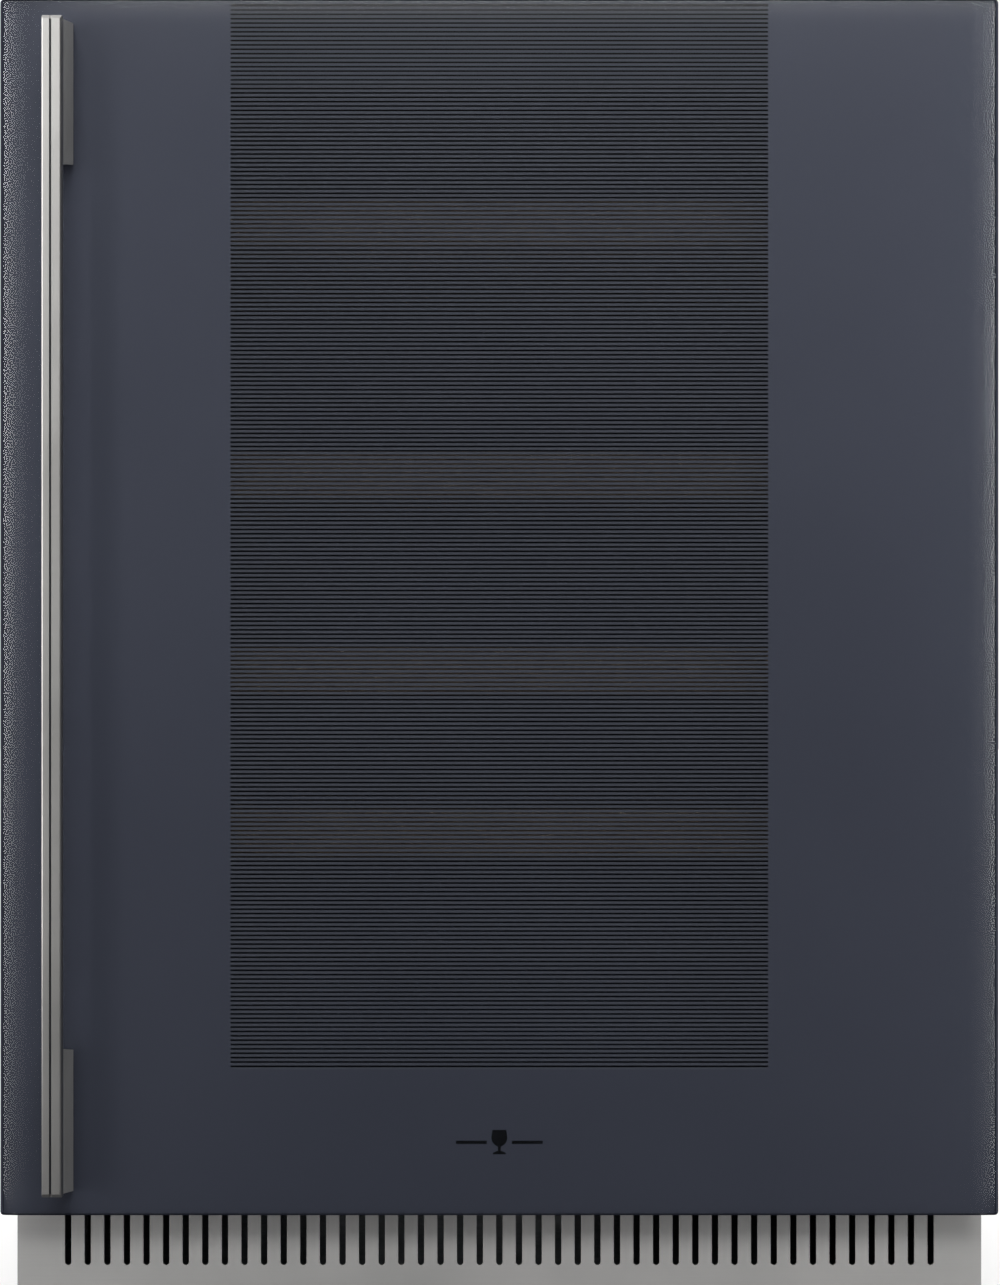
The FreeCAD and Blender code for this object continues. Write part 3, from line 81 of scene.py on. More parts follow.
# softboxes: place, what they point at, width and height in metres, power in watts, spread in degrees
lightSettings = {
    "keySoftbox": {"at": (0.2, -1.5, 2.1), "to": (0, -0.2, 0.7), "size": (1.2, 0.7), "power": 3.8,
                   "spread": 80},
    "frontSoftbox": {"at": (0.2, -3.9, 2.25), "to": (0, 0, 0.5), "size": (2.2, 0.9), "power": 38,
                     "spread": 110},
    "leftStrip": {"at": (-2.0, 0.0, 0.9), "to": (-0.2, 0.0, 0.5), "size": (0.45, 1.9), "power": 14,
                  "spread": 120},
    "rightStrip": {"at": (2.1, 0.9, 1.0), "to": (0.2, 0.1, 0.5), "size": (0.9, 1.7), "power": 4,
                   "spread": 120},
    "leftFill": {"at": (-1.7, -2.3, 0.5), "to": (-0.1, -0.2, 0.2), "size": (1.6, 0.9), "power": 4.6,
                 "spread": 120},
    "rightFill": {"at": (1.7, -2.3, 0.5), "to": (0.1, -0.2, 0.2), "size": (1.6, 0.9), "power": 4.6,
                  "spread": 120},
    "topSoftbox": {"at": (0.0, 0.4, 2.3), "to": (0.0, 0.401, 0.0), "size": (1.5, 1.0), "power": 8,
                   "spread": 120},
    "rearSoftbox": {"at": (1.2, 2.4, 1.7), "to": (0, 0, 0.4), "size": (1.8, 1.4), "power": 24,
                    "spread": 150},
}
# narrow strips in front of each side, brighter further out: the glass edges catch a soft line of light from
# them that fades from head to foot
edgeStrips = {"across": (0.391, 0.434, 0.478), "power": {-1: (0.125, 0.36, 0.95), 1: (0.11, 0.32, 0.85)},
              "y": -0.7, "z": 0.475, "width": 0.0436, "height": 0.95, "foot": 0.5, "head": 1.3}
for side in (-1, 1):
    for step in range(3):
        x = side * edgeStrips["across"][step]
        lightSettings[f"edgeStrip{side}{step}"] = {
            "at": (x, edgeStrips["y"], edgeStrips["z"]), "to": (x, 0, edgeStrips["z"]),
            "size": (edgeStrips["width"], edgeStrips["height"]), "power": edgeStrips["power"][side][step],
            "spread": 120}
floorOnly = bpy.data.collections.new("floorOnly")
notFloor = bpy.data.collections.new("notFloor")
for name, light in lightSettings.items():
    data = bpy.data.lights.new(name, "AREA")
    data.shape = "RECTANGLE"
    data.size, data.size_y = light["size"]
    data.energy = light["power"]
    data.spread = math.radians(light["spread"])
    lamp = bpy.data.objects.new(name, data)
    lamp.location = light["at"]
    lamp.rotation_euler = (Vector(light["to"]) - Vector(light["at"])).to_track_quat("-Z", "Y").to_euler()
    lamp.visible_camera = False
    lamp.light_linking.receiver_collection = notFloor
    scene.collection.objects.link(lamp)
    if name.startswith("edgeStrip"):
        lamp.visible_diffuse = False
        data.use_nodes = True
        upIt = addNode(data.node_tree, "ShaderNodeSeparateXYZ", {},
                       {0: addNode(data.node_tree, "ShaderNodeNewGeometry").outputs["Parametric"]})
        fade = addNode(data.node_tree, "ShaderNodeMapRange",
                       {"To Min": edgeStrips["foot"], "To Max": edgeStrips["head"]},
                       {"Value": upIt.outputs["Y"]})
        data.node_tree.links.new(fade.outputs["Result"], data.node_tree.nodes["Emission"].inputs["Strength"])

# the softboxes leave the floor out: even light from a white ceiling keeps it pale out to the horizon
ceilingLight = {"strength": 5.3, "softness": 70}
data = bpy.data.lights.new("ceiling", "SUN")
data.energy = ceilingLight["strength"]
data.angle = math.radians(ceilingLight["softness"])
ceiling = bpy.data.objects.new("ceiling", data)
ceiling.location = (0, 0, 3)
scene.collection.objects.link(ceiling)
ceiling.light_linking.receiver_collection = floorOnly

worldLook = {"fill": "#e6e8ec", "strength": 0.23, "paper": "#fbfbfb", "clearBounces": 24}
world = bpy.data.worlds.new("studio")
scene.world = world
world.use_nodes = True
studio = world.node_tree
seen = addNode(studio, "ShaderNodeLightPath").outputs["Is Camera Ray"]
fill = studio.nodes["Background"]
fill.inputs["Color"].default_value = hexColour(worldLook["fill"])
fill.inputs["Strength"].default_value = worldLook["strength"]
paper = addNode(studio, "ShaderNodeBackground", {"Color": hexColour(worldLook["paper"]), "Strength": 1.0})
bothWays = addNode(studio, "ShaderNodeMixShader", {}, {0: seen, 1: fill.outputs[0], 2: paper.outputs[0]})
studio.links.new(bothWays.outputs[0], studio.nodes["World Output"].inputs["Surface"])
scene.view_settings.view_transform = "Standard"
scene.cycles.transparent_max_bounces = worldLook["clearBounces"]
print("camera and lights in place")


# finishes
def newFinish(name, sockets):
    material = bpy.data.materials.new(name)
    material.use_nodes = True
    tree = material.node_tree
    shader = tree.nodes["Principled BSDF"]
    for socket, value in sockets.items():
        shader.inputs[socket].default_value = value
    place = addNode(tree, "ShaderNodeTexCoord").outputs["Object"]
    return material, tree, shader, place


def worked(name, dark, light, rough, patch=40, grain=0.4, stretch=(1, 1, 1), depth=0.02, bump=0.3,
           sockets=None):
    # one body colour that drifts over patch mm under a fine grain, which stretch draws out along an axis
    material, tree, shader, place = newFinish(name, sockets or {})
    drift = addNode(tree, "ShaderNodeTexNoise", {"Scale": 1 / (patch * mm), "Detail": 3.0},
                    {"Vector": place})
    tint = addNode(tree, "ShaderNodeValToRGB", {}, {"Fac": drift.outputs["Fac"]})
    tint.color_ramp.elements[0].position = 0.3
    tint.color_ramp.elements[0].color = hexColour(dark)
    tint.color_ramp.elements[1].position = 0.7
    tint.color_ramp.elements[1].color = hexColour(light)
    drawn = addNode(tree, "ShaderNodeMapping", {"Scale": tuple(1 / part for part in stretch)},
                    {"Vector": place})
    fine = addNode(tree, "ShaderNodeTexNoise", {"Scale": 1 / (grain * mm), "Detail": 2.0},
                   {"Vector": drawn.outputs[0]})
    dull = addNode(tree, "ShaderNodeMapRange", {"To Min": rough[0], "To Max": rough[1]},
                   {"Value": fine.outputs["Fac"]})
    relief = addNode(tree, "ShaderNodeBump", {"Strength": bump, "Distance": depth * mm},
                     {"Height": fine.outputs["Fac"]})
    tree.links.new(tint.outputs["Color"], shader.inputs["Base Color"])
    tree.links.new(dull.outputs["Result"], shader.inputs["Roughness"])
    tree.links.new(relief.outputs["Normal"], shader.inputs["Normal"])
    return material


def galvanised(name, look):
    # hot-dip zinc: flat crystals a few millimetres across, each with its own grey and shine
    material, tree, shader, place = newFinish(name, {"Metallic": 1.0})
    warp = addNode(tree, "ShaderNodeTexNoise", {"Scale": 1 / (look["crystal"] * mm), "Detail": 2.0},
                   {"Vector": place})
    bent = addNode(tree, "ShaderNodeVectorMath", {"operation": "MULTIPLY_ADD", 1: (look["warp"] * mm,) * 3},
                   {0: warp.outputs["Color"], 2: place})
    crystals = addNode(tree, "ShaderNodeTexVoronoi", {"Scale": 1 / (look["crystal"] * mm)},
                       {"Vector": bent.outputs[0]})
    shade = addNode(tree, "ShaderNodeSeparateColor", {}, {"Color": crystals.outputs["Color"]})
    tint = addNode(tree, "ShaderNodeValToRGB", {}, {"Fac": shade.outputs[0]})
    tint.color_ramp.elements[0].color = hexColour(look["dark"])
    tint.color_ramp.elements[1].color = hexColour(look["light"])
    dull = addNode(tree, "ShaderNodeMapRange", {"To Min": look["rough"][0], "To Max": look["rough"][1]},
                   {"Value": shade.outputs[1]})
    tree.links.new(tint.outputs["Color"], shader.inputs["Base Color"])
    tree.links.new(dull.outputs["Result"], shader.inputs["Roughness"])
    return material


def oiledBeech(name, look):
    # planed and oiled beech: straight growth lines, short dark rays, a satin oil film over both
    material, tree, shader, place = newFinish(name, {"Specular IOR Level": 0.4})
    where = addNode(tree, "ShaderNodeSeparateXYZ", {}, {"Vector": place})
    across = addNode(tree, "ShaderNodeMath", {"operation": "ABSOLUTE"}, {0: where.outputs["X"]})
    isSide = addNode(tree, "ShaderNodeMath", {"operation": "GREATER_THAN", 1: look["railFrom"]},
                     {0: across.outputs[0]})
    long = look["runOut"]
    alongX = addNode(tree, "ShaderNodeMapping", {"Scale": (1 / long, 1, 1)}, {"Vector": place})
    alongY = addNode(tree, "ShaderNodeMapping", {"Scale": (1, 1 / long, 1)}, {"Vector": place})
    run = addNode(tree, "ShaderNodeMix", {"data_type": "VECTOR"},
                  {0: isSide.outputs[0], 4: alongX.outputs[0], 5: alongY.outputs[0]}).outputs[1]
    growth = addNode(tree, "ShaderNodeTexNoise", {"Scale": 1 / (look["ringMm"] * mm), "Detail": 4.0,
                                                  "Roughness": 0.6, "Distortion": 0.4}, {"Vector": run})
    wood = addNode(tree, "ShaderNodeValToRGB", {}, {"Fac": growth.outputs["Fac"]})
    wood.color_ramp.elements[0].position = look["ringEdges"][0]
    wood.color_ramp.elements[0].color = hexColour(look["late"])
    wood.color_ramp.elements[1].position = look["ringEdges"][1]
    wood.color_ramp.elements[1].color = hexColour(look["early"])
    rays = addNode(tree, "ShaderNodeTexNoise", {"Scale": 1 / (look["rayMm"] * mm), "Detail": 1.0},
                   {"Vector": run})
    fleck = addNode(tree, "ShaderNodeMapRange", {"From Min": look["rayEdges"][0],
                                                 "From Max": look["rayEdges"][1]},
                    {"Value": rays.outputs["Fac"]})
    flecked = addNode(tree, "ShaderNodeMix", {"data_type": "RGBA", 7: hexColour(look["ray"])},
                      {0: fleck.outputs["Result"], 6: wood.outputs["Color"]})
    dull = addNode(tree, "ShaderNodeMapRange", {"To Min": look["rough"][0], "To Max": look["rough"][1]},
                   {"Value": growth.outputs["Fac"]})
    relief = addNode(tree, "ShaderNodeBump", {"Strength": 0.35, "Distance": look["rayDepth"] * mm},
                     {"Height": rays.outputs["Fac"]})
    tree.links.new(flecked.outputs[2], shader.inputs["Base Color"])
    tree.links.new(dull.outputs["Result"], shader.inputs["Roughness"])
    tree.links.new(relief.outputs["Normal"], shader.inputs["Normal"])
    return material


def floatGlass(name, look):
    # float glass: clear, a faint green in its body, and only a weak mirror face on
    material, tree, shader, place = newFinish(name, {"Base Color": (1, 1, 1, 1), "Metallic": 1.0})
    smear = addNode(tree, "ShaderNodeTexNoise", {"Scale": 1 / (look["smear"] * mm), "Detail": 2.0},
                    {"Vector": place})
    haze = addNode(tree, "ShaderNodeMapRange", {"To Min": 0.9 * look["haze"], "To Max": look["haze"]},
                   {"Value": smear.outputs["Fac"]})
    tree.links.new(haze.outputs["Result"], shader.inputs["Roughness"])
    through = addNode(tree, "ShaderNodeBsdfTransparent", {"Color": hexColour(look["body"])})
    mirror = addNode(tree, "ShaderNodeFresnel", {"IOR": look["index"]})
    fromBehind = addNode(tree, "ShaderNodeNewGeometry").outputs["Backfacing"]
    frontOnly = addNode(tree, "ShaderNodeMix", {3: 0.0}, {0: fromBehind, 2: mirror.outputs[0]})
    pane = addNode(tree, "ShaderNodeMixShader", {},
                   {0: frontOnly.outputs[0], 1: through.outputs[0], 2: shader.outputs[0]})
    tree.links.new(pane.outputs[0], tree.nodes["Material Output"].inputs["Surface"])
    return material


def circuitBoard(name, look):
    # glass-fibre laminate under green resist, with tinned tracks in steps of the board's grid
    material, tree, shader, place = newFinish(name, {"Roughness": 0.35})
    grid = addNode(tree, "ShaderNodeTexBrick", {"Scale": 1 / (look["grid"] * mm), "Mortar Size": 0.08,
                                                "Color1": hexColour(look["resist"]),
                                                "Color2": hexColour(look["copperUnder"]),
                                                "Mortar": hexColour(look["tin"])})
    turned = addNode(tree, "ShaderNodeMapping", {"Rotation": (math.radians(90), 0, 0)}, {"Vector": place})
    tree.links.new(turned.outputs[0], grid.inputs["Vector"])
    tree.links.new(grid.outputs["Color"], shader.inputs["Base Color"])
    return material


def prismLens(name, look):
    # opal acrylic with moulded prisms across it; the row of light bands over the diodes is painted light in
    # its colour
    material, tree, shader, place = newFinish(name, {"Roughness": 0.28, "Subsurface Weight": 0.2,
                                                     "Subsurface Radius": (0.004, 0.004, 0.004)})
    prismsAndPaintedGlow = addNode(tree, "ShaderNodeTexWave", {"Scale": 1 / (look["pitch"] * mm) / math.pi},
                    {"Vector": place})
    # lighter and darker bands of colour: painted light from the diodes
    tint = addNode(tree, "ShaderNodeMix", {"data_type": "RGBA", 6: hexColour(look["dark"]),
                                           7: hexColour(look["light"])}, {0: prismsAndPaintedGlow.outputs["Fac"]})
    relief = addNode(tree, "ShaderNodeBump", {"Strength": 0.5, "Distance": 0.2 * mm},
                     {"Height": prismsAndPaintedGlow.outputs["Fac"]})
    tree.links.new(tint.outputs[2], shader.inputs["Base Color"])
    tree.links.new(relief.outputs["Normal"], shader.inputs["Normal"])
    return material


finishes = {
    # powder-coated steel: low sheen, faint orange peel
    "casing_paint": worked("powderCoat", "#434549", "#46484d", (0.42, 0.52), 160, 1.4, depth=0.03, bump=0.5),
    "zinc_sheet": galvanised("zincSpangle", {"crystal": 7, "warp": 3, "dark": "#a3a7ab", "light": "#b7bbbe",
                                             "rough": (0.34, 0.55)}),
    # stainless steel brushed along its length: long level scratches, soft wide highlights
    "plinth_steel": worked("brushedStainless", "#9e9d9b", "#acaaa8", (0.46, 0.62), 90, 0.9, (60, 1, 1), 0.02,
                           0.35, {"Metallic": 0.6}),
    # polyurethane foam, free risen: cream, open skin, no shine
    "polyurethane_foam": worked("risenFoam", "#c9b483", "#e0cf9f", (0.85, 0.98), 25, 1.5, depth=0.6,
                                bump=0.8),
    # high-impact polystyrene, vacuum formed: slight leather grain, soft highlights
    "liner_plastic": worked("formedPolystyrene", "#42454a", "#4d5055", (0.38, 0.5), 120, 0.9, depth=0.04,
                            bump=0.4),
    # ABS profile, black, fine matt grain
    "trim_plastic": worked("blackProfile", "#0b0c10", "#111217", (0.3, 0.42), 70, 0.5, depth=0.02, bump=0.35,
                           sockets={"Specular IOR Level": 0.15}),
    "front_glass": floatGlass("toughenedGlass", {"body": "#f4f5f6", "index": 1.2, "haze": 0.12, "smear": 90}),
    "clear_glass": floatGlass("paneGlass", {"body": "#e6eaf0", "index": 1.12, "haze": 0.02, "smear": 90}),
    # aluminium spacer, black anodised: dull, drawn lengthwise
    "spacer_aluminium": worked("anodisedSpacer", "#202226", "#2b2d32", (0.35, 0.5), 60, 0.5, (1, 1, 30), 0.01,
                               0.3, {"Metallic": 0.8}),
    # aluminium bar, brushed along its length and clear anodised
    "handle_aluminium": worked("brushedAluminium", "#747371", "#7e7d7b", (0.3, 0.38), 60, 0.5, (1, 1, 90),
                               0.012, 0.4, {"Metallic": 0.85}),
    # soft PVC seal: matt, slightly chalky
    "gasket_rubber": worked("softSeal", "#232427", "#2e2f33", (0.6, 0.78), 40, 0.5, depth=0.02, bump=0.3),
    # nylon bush: milky, waxy
    "bush_nylon": worked("nylonBush", "#d2cfc4", "#e2dfd6", (0.4, 0.5), 15, 0.4, depth=0.01, bump=0.3,
                         sockets={"Subsurface Weight": 0.1}),
    # railFrom is in metres from the middle: past it the grain follows the side rails
    "shelf_wood": oiledBeech("oiledBeech", {"late": "#9a6c40", "early": "#c79a68", "ray": "#7d532e",
                                            "ringMm": 2.4, "rayMm": 0.9, "runOut": 22, "railFrom": 0.2252,
                                            "ringEdges": (0.28, 0.72), "rayEdges": (0.62, 0.7),
                                            "rayDepth": 0.08, "rough": (0.42, 0.62)}),
    # zinc-plated steel runners: bright, with rolling marks along them
    "runner_steel": worked("platedRunner", "#a9acb0", "#c3c6c9", (0.25, 0.4), 50, 0.6, (1, 50, 1), 0.01, 0.3,
                           {"Metallic": 1.0}),
    # black ABS housing, glossier than the profiles
    "console_plastic": worked("consoleBlack", "#141517", "#1b1c1f", (0.26, 0.36), 60, 0.6, depth=0.01,
                              bump=0.3),
    # smoked acrylic: near black, polished
    "display_plastic": worked("smokedAcrylic", "#08090b", "#0e1013", (0.04, 0.08), 30, 0.8, depth=0.002,
                              bump=0.1, sockets={"Coat Weight": 0.6}),
    # grey ABS button caps, satin
    "button_plastic": worked("buttonCap", "#63666a", "#707377", (0.34, 0.44), 12, 0.35, depth=0.01, bump=0.3),
    "board_laminate": circuitBoard("greenLaminate", {"grid": 6, "resist": "#1c5a33",
                                                     "copperUnder": "#236b3d", "tin": "#9aa39b"}),
    "light_lens": prismLens("opalLens", {"pitch": 8, "dark": "#d3d8de", "light": "#f4f7fa"}),
    # aluminium fins and tube: bright, thin, a little oxidised
    "coil_aluminium": worked("finAluminium", "#a9acaf", "#cdd0d2", (0.3, 0.46), 30, 0.7, depth=0.01, bump=0.3,
                             sockets={"Metallic": 1.0}),
    # glass-filled nylon fan parts: dark, slightly fibrous
    "fan_plastic": worked("fanNylon", "#1d1e20", "#2a2b2e", (0.42, 0.6), 20, 0.4, (1, 4, 1), 0.02, 0.35),
    # pressed and blackened steel motor cans
    "motor_can": worked("pressedCan", "#55585c", "#6a6d71", (0.3, 0.45), 25, 0.6, (1, 1, 12), 0.01, 0.3,
                        {"Metallic": 0.9}),
    # filter cage: grey polypropylene
    "filter_plastic": worked("filterCage", "#4c4e51", "#5b5d60", (0.45, 0.6), 20, 0.4, depth=0.02, bump=0.35),
    # stoved black enamel over a drawn steel shell: glossy with soft waviness
    "compressor_enamel": worked("stovedEnamel", "#0e0f11", "#17181b", (0.16, 0.28), 30, 3.0, depth=0.05,
                                bump=0.5, sockets={"Coat Weight": 0.3}),
    # natural rubber feet: dull black with dust in the grain
    "mount_rubber": worked("mountRubber", "#1b1b1b", "#272625", (0.7, 0.85), 12, 0.5, depth=0.03, bump=0.4),
    # drawn copper, browned by handling and brazing
    "copper": worked("agedCopper", "#8a4a2c", "#c47a50", (0.24, 0.42), 22, 0.8, depth=0.01, bump=0.3,
                     sockets={"Metallic": 1.0}),
    # natural polypropylene tray
    "tray_plastic": worked("trayPolypropylene", "#b9bcbc", "#c9cccc", (0.4, 0.5), 40, 0.6, depth=0.02,
                           bump=0.3, sockets={"Subsurface Weight": 0.05}),
    # phenolic appliance inlet
    "inlet_plastic": worked("inletPhenolic", "#121212", "#1c1c1c", (0.4, 0.52), 15, 0.4, depth=0.02,
                            bump=0.3),
    # glass-filled nylon feet
    "foot_plastic": worked("footNylon", "#1c1c1d", "#29292a", (0.5, 0.65), 15, 0.4, depth=0.03, bump=0.4),
    # zinc-plated screws and studs
    "screw_steel": worked("platedScrew", "#8f9297", "#b4b7bb", (0.28, 0.42), 10, 0.4, depth=0.01, bump=0.3,
                          sockets={"Metallic": 1.0}),
}
# die-cast posts: satin, more diffuse than the drawn bar; their lighter grey is painted light, for the light
# falling on the posts' sides
castPostPaintedLight = worked("castPostPaintedLight", "#8b8a88", "#969593", (0.45, 0.55), 40, 0.5, (1, 1, 20), 0.01, 0.3,
                  {"Metallic": 0.35})
# metallic lacquer on the back of the glass: tiny flakes, satin, bluish grey
lacquer = worked("metallicLacquer", "#3a3c46", "#3e404a", (0.4, 0.48), 260, 0.9, depth=0.002, bump=0.06,
                 sockets={"Metallic": 0.15, "Specular IOR Level": 0.1})
# ground and polished rim of the glass, dark grey: painted shade for the dark edge of the glass
rim = worked("groundRimPaintedShade", "#343741", "#3a3e48", (0.5, 0.6), 60, 0.6, depth=0.004, bump=0.1,
             sockets={"Specular IOR Level": 0.0})
# the line where the rim turns into the face, near black: painted shade for the dark line along the edge
rimLinePaintedShade = worked("rimLinePaintedShade", "#1a1c23", "#1f2128", (0.6, 0.7), 60, 0.6, depth=0.004, bump=0.1,
                 sockets={"Specular IOR Level": 0.0})
for edge in (rim, rimLinePaintedShade):
    # light still passes through the edge, so it casts no shadow on the lacquer behind
    surface = edge.node_tree.nodes["Material Output"].inputs["Surface"]
    shadowRay = addNode(edge.node_tree, "ShaderNodeLightPath").outputs["Is Shadow Ray"]
    clear = addNode(edge.node_tree, "ShaderNodeBsdfTransparent", {"Color": hexColour("#f4f5f6")})
    body = surface.links[0].from_socket
    passing = addNode(edge.node_tree, "ShaderNodeMixShader", {}, {0: shadowRay, 1: body, 2: clear.outputs[0]})
    edge.node_tree.links.new(passing.outputs[0], surface)
# screen-printed enamel lines: even, slightly lighter than the lacquer
stripeInk = worked("printedStripe", "#3d3f47", "#41434b", (0.5, 0.6), 200, 0.8, depth=0.003, bump=0.06,
                   sockets={"Specular IOR Level": 0.1})
# dark ceramic print for the mark on the glass
markInk = worked("markPrint", "#08090c", "#0d0e12", (0.5, 0.6), 20, 0.5, depth=0.003, bump=0.1,
                 sockets={"Specular IOR Level": 0.04})
# pale pad print on buttons and display; on the display it draws the digits as lit segments, which is painted
# light
paleInkAndLitDigits = worked("palePrintAndLitDigits", "#c9ced4", "#dde1e6", (0.5, 0.6), 10, 0.3, depth=0.002, bump=0.1)
# matt studio floor
floorPaper = worked("floorPaper", "#efeeed", "#f0efee", (0.9, 1.0), 600, 4.0, depth=0.02, bump=0.05,
                    sockets={"Specular IOR Level": 0.0})

for name, obj in nodes.items():
    for held in obj.material_slots:
        slotName = held.material.name.split(".")[0]
        # the handle posts take the lighter grey, painted light
        held.material = castPostPaintedLight if name == "handle_posts" else finishes[slotName]
print("finishes on", len(nodes), "nodes")


# shapes
def putMesh(name, points, faces, material, body, slot, angle=35):
    # points (n, 3) in millimetres and faces as lists of corners; sharp where faces meet at more than angle
    mesh = bpy.data.meshes.new(name)
    mesh.from_pydata((np.asarray(points) * mm).tolist(), [], [list(face) for face in faces])
    shape = bmesh.new()
    shape.from_mesh(mesh)
    bmesh.ops.recalc_face_normals(shape, faces=shape.faces)
    shape.to_mesh(mesh)
    shape.free()
    mesh.shade_smooth()
    mesh.set_sharp_from_angle(angle=math.radians(angle))
    mesh.materials.append(material)
    piece = bpy.data.objects.new(name, mesh)
    scene.collection.objects.link(piece)
    if body:
        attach(piece, body)
    return piece


def loft(loops, capped=True, closed=False):
    # joins each closed loop of points to the next with quads: loops is (loops, points, 3)
    loops = np.asarray(loops, float)
    count, around = loops.shape[:2]
    grid = np.arange(count * around).reshape(count, around)
    nextLoop = np.roll(grid, -1, axis=0) if closed else grid[1:]
    here = grid if closed else grid[:-1]
    quads = np.stack([here, np.roll(here, -1, 1), np.roll(nextLoop, -1, 1), nextLoop], -1)
    faces = quads.reshape(-1, 4).tolist()
    if capped and not closed:
        faces += [grid[0][::-1].tolist(), grid[-1].tolist()]
    return loops.reshape(-1, 3), faces


def joined(parts):
    # one list of points and faces from several
    points, faces, start = [], [], 0
    for somePoints, someFaces in parts:
        points.append(somePoints)
        faces += [[corner + start for corner in face] for face in someFaces]
        start += len(somePoints)
    return np.concatenate(points), faces


def roundedRectangle(low, high, radius, steps=6, stops=()):
    # a quarter circle of radius at each corner of the rectangle, as (x, z) points going round once;
    # stops are shares of each straight run, from one corner to the next, that get a point of their own
    turn = np.linspace(0, math.pi / 2, steps)
    corners = np.array([[high[0], high[1]], [low[0], high[1]], [low[0], low[1]], [high[0], low[1]]], float)
    inward = np.array([[-1, -1], [1, -1], [1, 1], [-1, 1]]) * radius
    angles = turn[None, :] + np.arange(4)[:, None] * math.pi / 2
    arcs = np.stack([np.cos(angles), np.sin(angles)], -1) * radius + (corners + inward)[:, None, :]
    share = np.asarray(stops, float)[None, :, None]
    runs = arcs[:, -1:] * (1 - share) + np.roll(arcs, -1, 0)[:, :1] * share
    return np.concatenate([arcs, runs], 1).reshape(-1, 2)


def plate(outline, front, back):
    # a flat outline in x and z given thickness along y
    outline = np.asarray(outline, float)
    sides = [np.column_stack([outline[:, 0], np.full(len(outline), y), outline[:, 1]])
             for y in (front, back)]
    return loft(sides)


def boxes(low, high):
    # many boxes at once from their lowest and highest corners, both (n, 3)
    pick = np.array([[0, 0, 0], [1, 0, 0], [1, 1, 0], [0, 1, 0], [0, 0, 1], [1, 0, 1], [1, 1, 1], [0, 1, 1]])
    points = np.where(pick[None] == 0, np.asarray(low, float)[:, None], np.asarray(high, float)[:, None])
    quads = np.array([[0, 3, 2, 1], [4, 5, 6, 7], [0, 1, 5, 4], [1, 2, 6, 5], [2, 3, 7, 6], [3, 0, 4, 7]])
    faces = quads[None] + 8 * np.arange(len(points))[:, None, None]
    return points.reshape(-1, 3), faces.reshape(-1, 4).tolist()


def inkLine(path, width, front, back, closed=False):
    # a line of even width along path in x and z: each point is moved half the width to both sides
    path = np.asarray(path, float)
    along = np.roll(path, -1, 0) - np.roll(path, 1, 0) if closed else np.gradient(path, axis=0)
    along /= np.linalg.norm(along, axis=1, keepdims=True)
    side = np.column_stack([-along[:, 1], along[:, 0]]) * width / 2
    ribbon = np.stack([path + side, path - side], 1)
    loops = np.stack([np.column_stack([ribbon[:, k, 0], np.full(len(path), y), ribbon[:, k, 1]])
                      for k, y in ((0, front), (1, front), (1, back), (0, back))], 1)
    return loft(loops, capped=not closed, closed=closed)


def arc(centre, radius, start, end, steps=24):
    # points on a circle from start to end, in degrees anticlockwise from the right
    turn = np.radians(np.linspace(start, end, steps))
    return np.column_stack([centre[0] + radius * np.cos(turn), centre[1] + radius * np.sin(turn)])


# front glass, lacquer and stripes
glassLook = {
    "thickness": 3.6,
    "corner": 2.2,
    "edgeBand": 17.0,      # how far in the polished edge falls away
    "edgeFall": 0.95,
    "endFall": 0.12,
    "edgePower": 2.4,
    "rimWidth": 1.4,
    "rimLinePaintedShade": 0.7,        # width of the near-black line of painted shade between the rim and the face
    "endLine": 1.2,        # the same along the head and foot
    "lacquerInset": 0.5,
    "windowHalf": 161.0,
    "windowFoot": 177.4,
    "windowHeadGap": 2.0,
    "bonded": 50.0,
    "stripePitch": 2.615,
    "stripeHeight": 1.55,
    "backInsets": (0.5, 0.05, 0.0),     # the back edge, ring by ring towards the front
    "backStep": 0.3,
    "rimInsets": (0.0, 0.12, 0.4),
    "rimBehind": (0.4, 0.2, 0.08),      # how far each ring of the rim lies behind the face
    "flatStep": 2.0,
    "coat": (0.12, 0.2),   # front and back of each print, behind the glass
    "backing": (0.24, 0.32),
    "mark": (0.04, 0.09),
    "backingSide": 1.5,
    "backingEnd": 0.4,
}
x0, z0, x1, z1 = (glassLow.x / mm, glassLow.z / mm, glassHigh.x / mm, glassHigh.z / mm)
yFront = glassLow.y / mm
yBack = yFront + glassLook["thickness"]
stops = np.concatenate([np.linspace(0.004, 0.07, 9), np.linspace(0.93, 0.996, 9)])


def polishedFall(points):
    # how far the face lies behind its middle: a power curve of the distance to the side edges, and a small
    # share of the same curve from the head and foot
    reach, power = glassLook["edgeBand"], glassLook["edgePower"]
    toSide = np.minimum(points[:, 0] - x0, x1 - points[:, 0])
    toEnd = np.minimum(points[:, 1] - z0, z1 - points[:, 1])
    curve = [np.clip(1 - distance / reach, 0, 1) ** power for distance in (toSide, toEnd)]
    return glassLook["edgeFall"] * curve[0] + glassLook["endFall"] * curve[1]


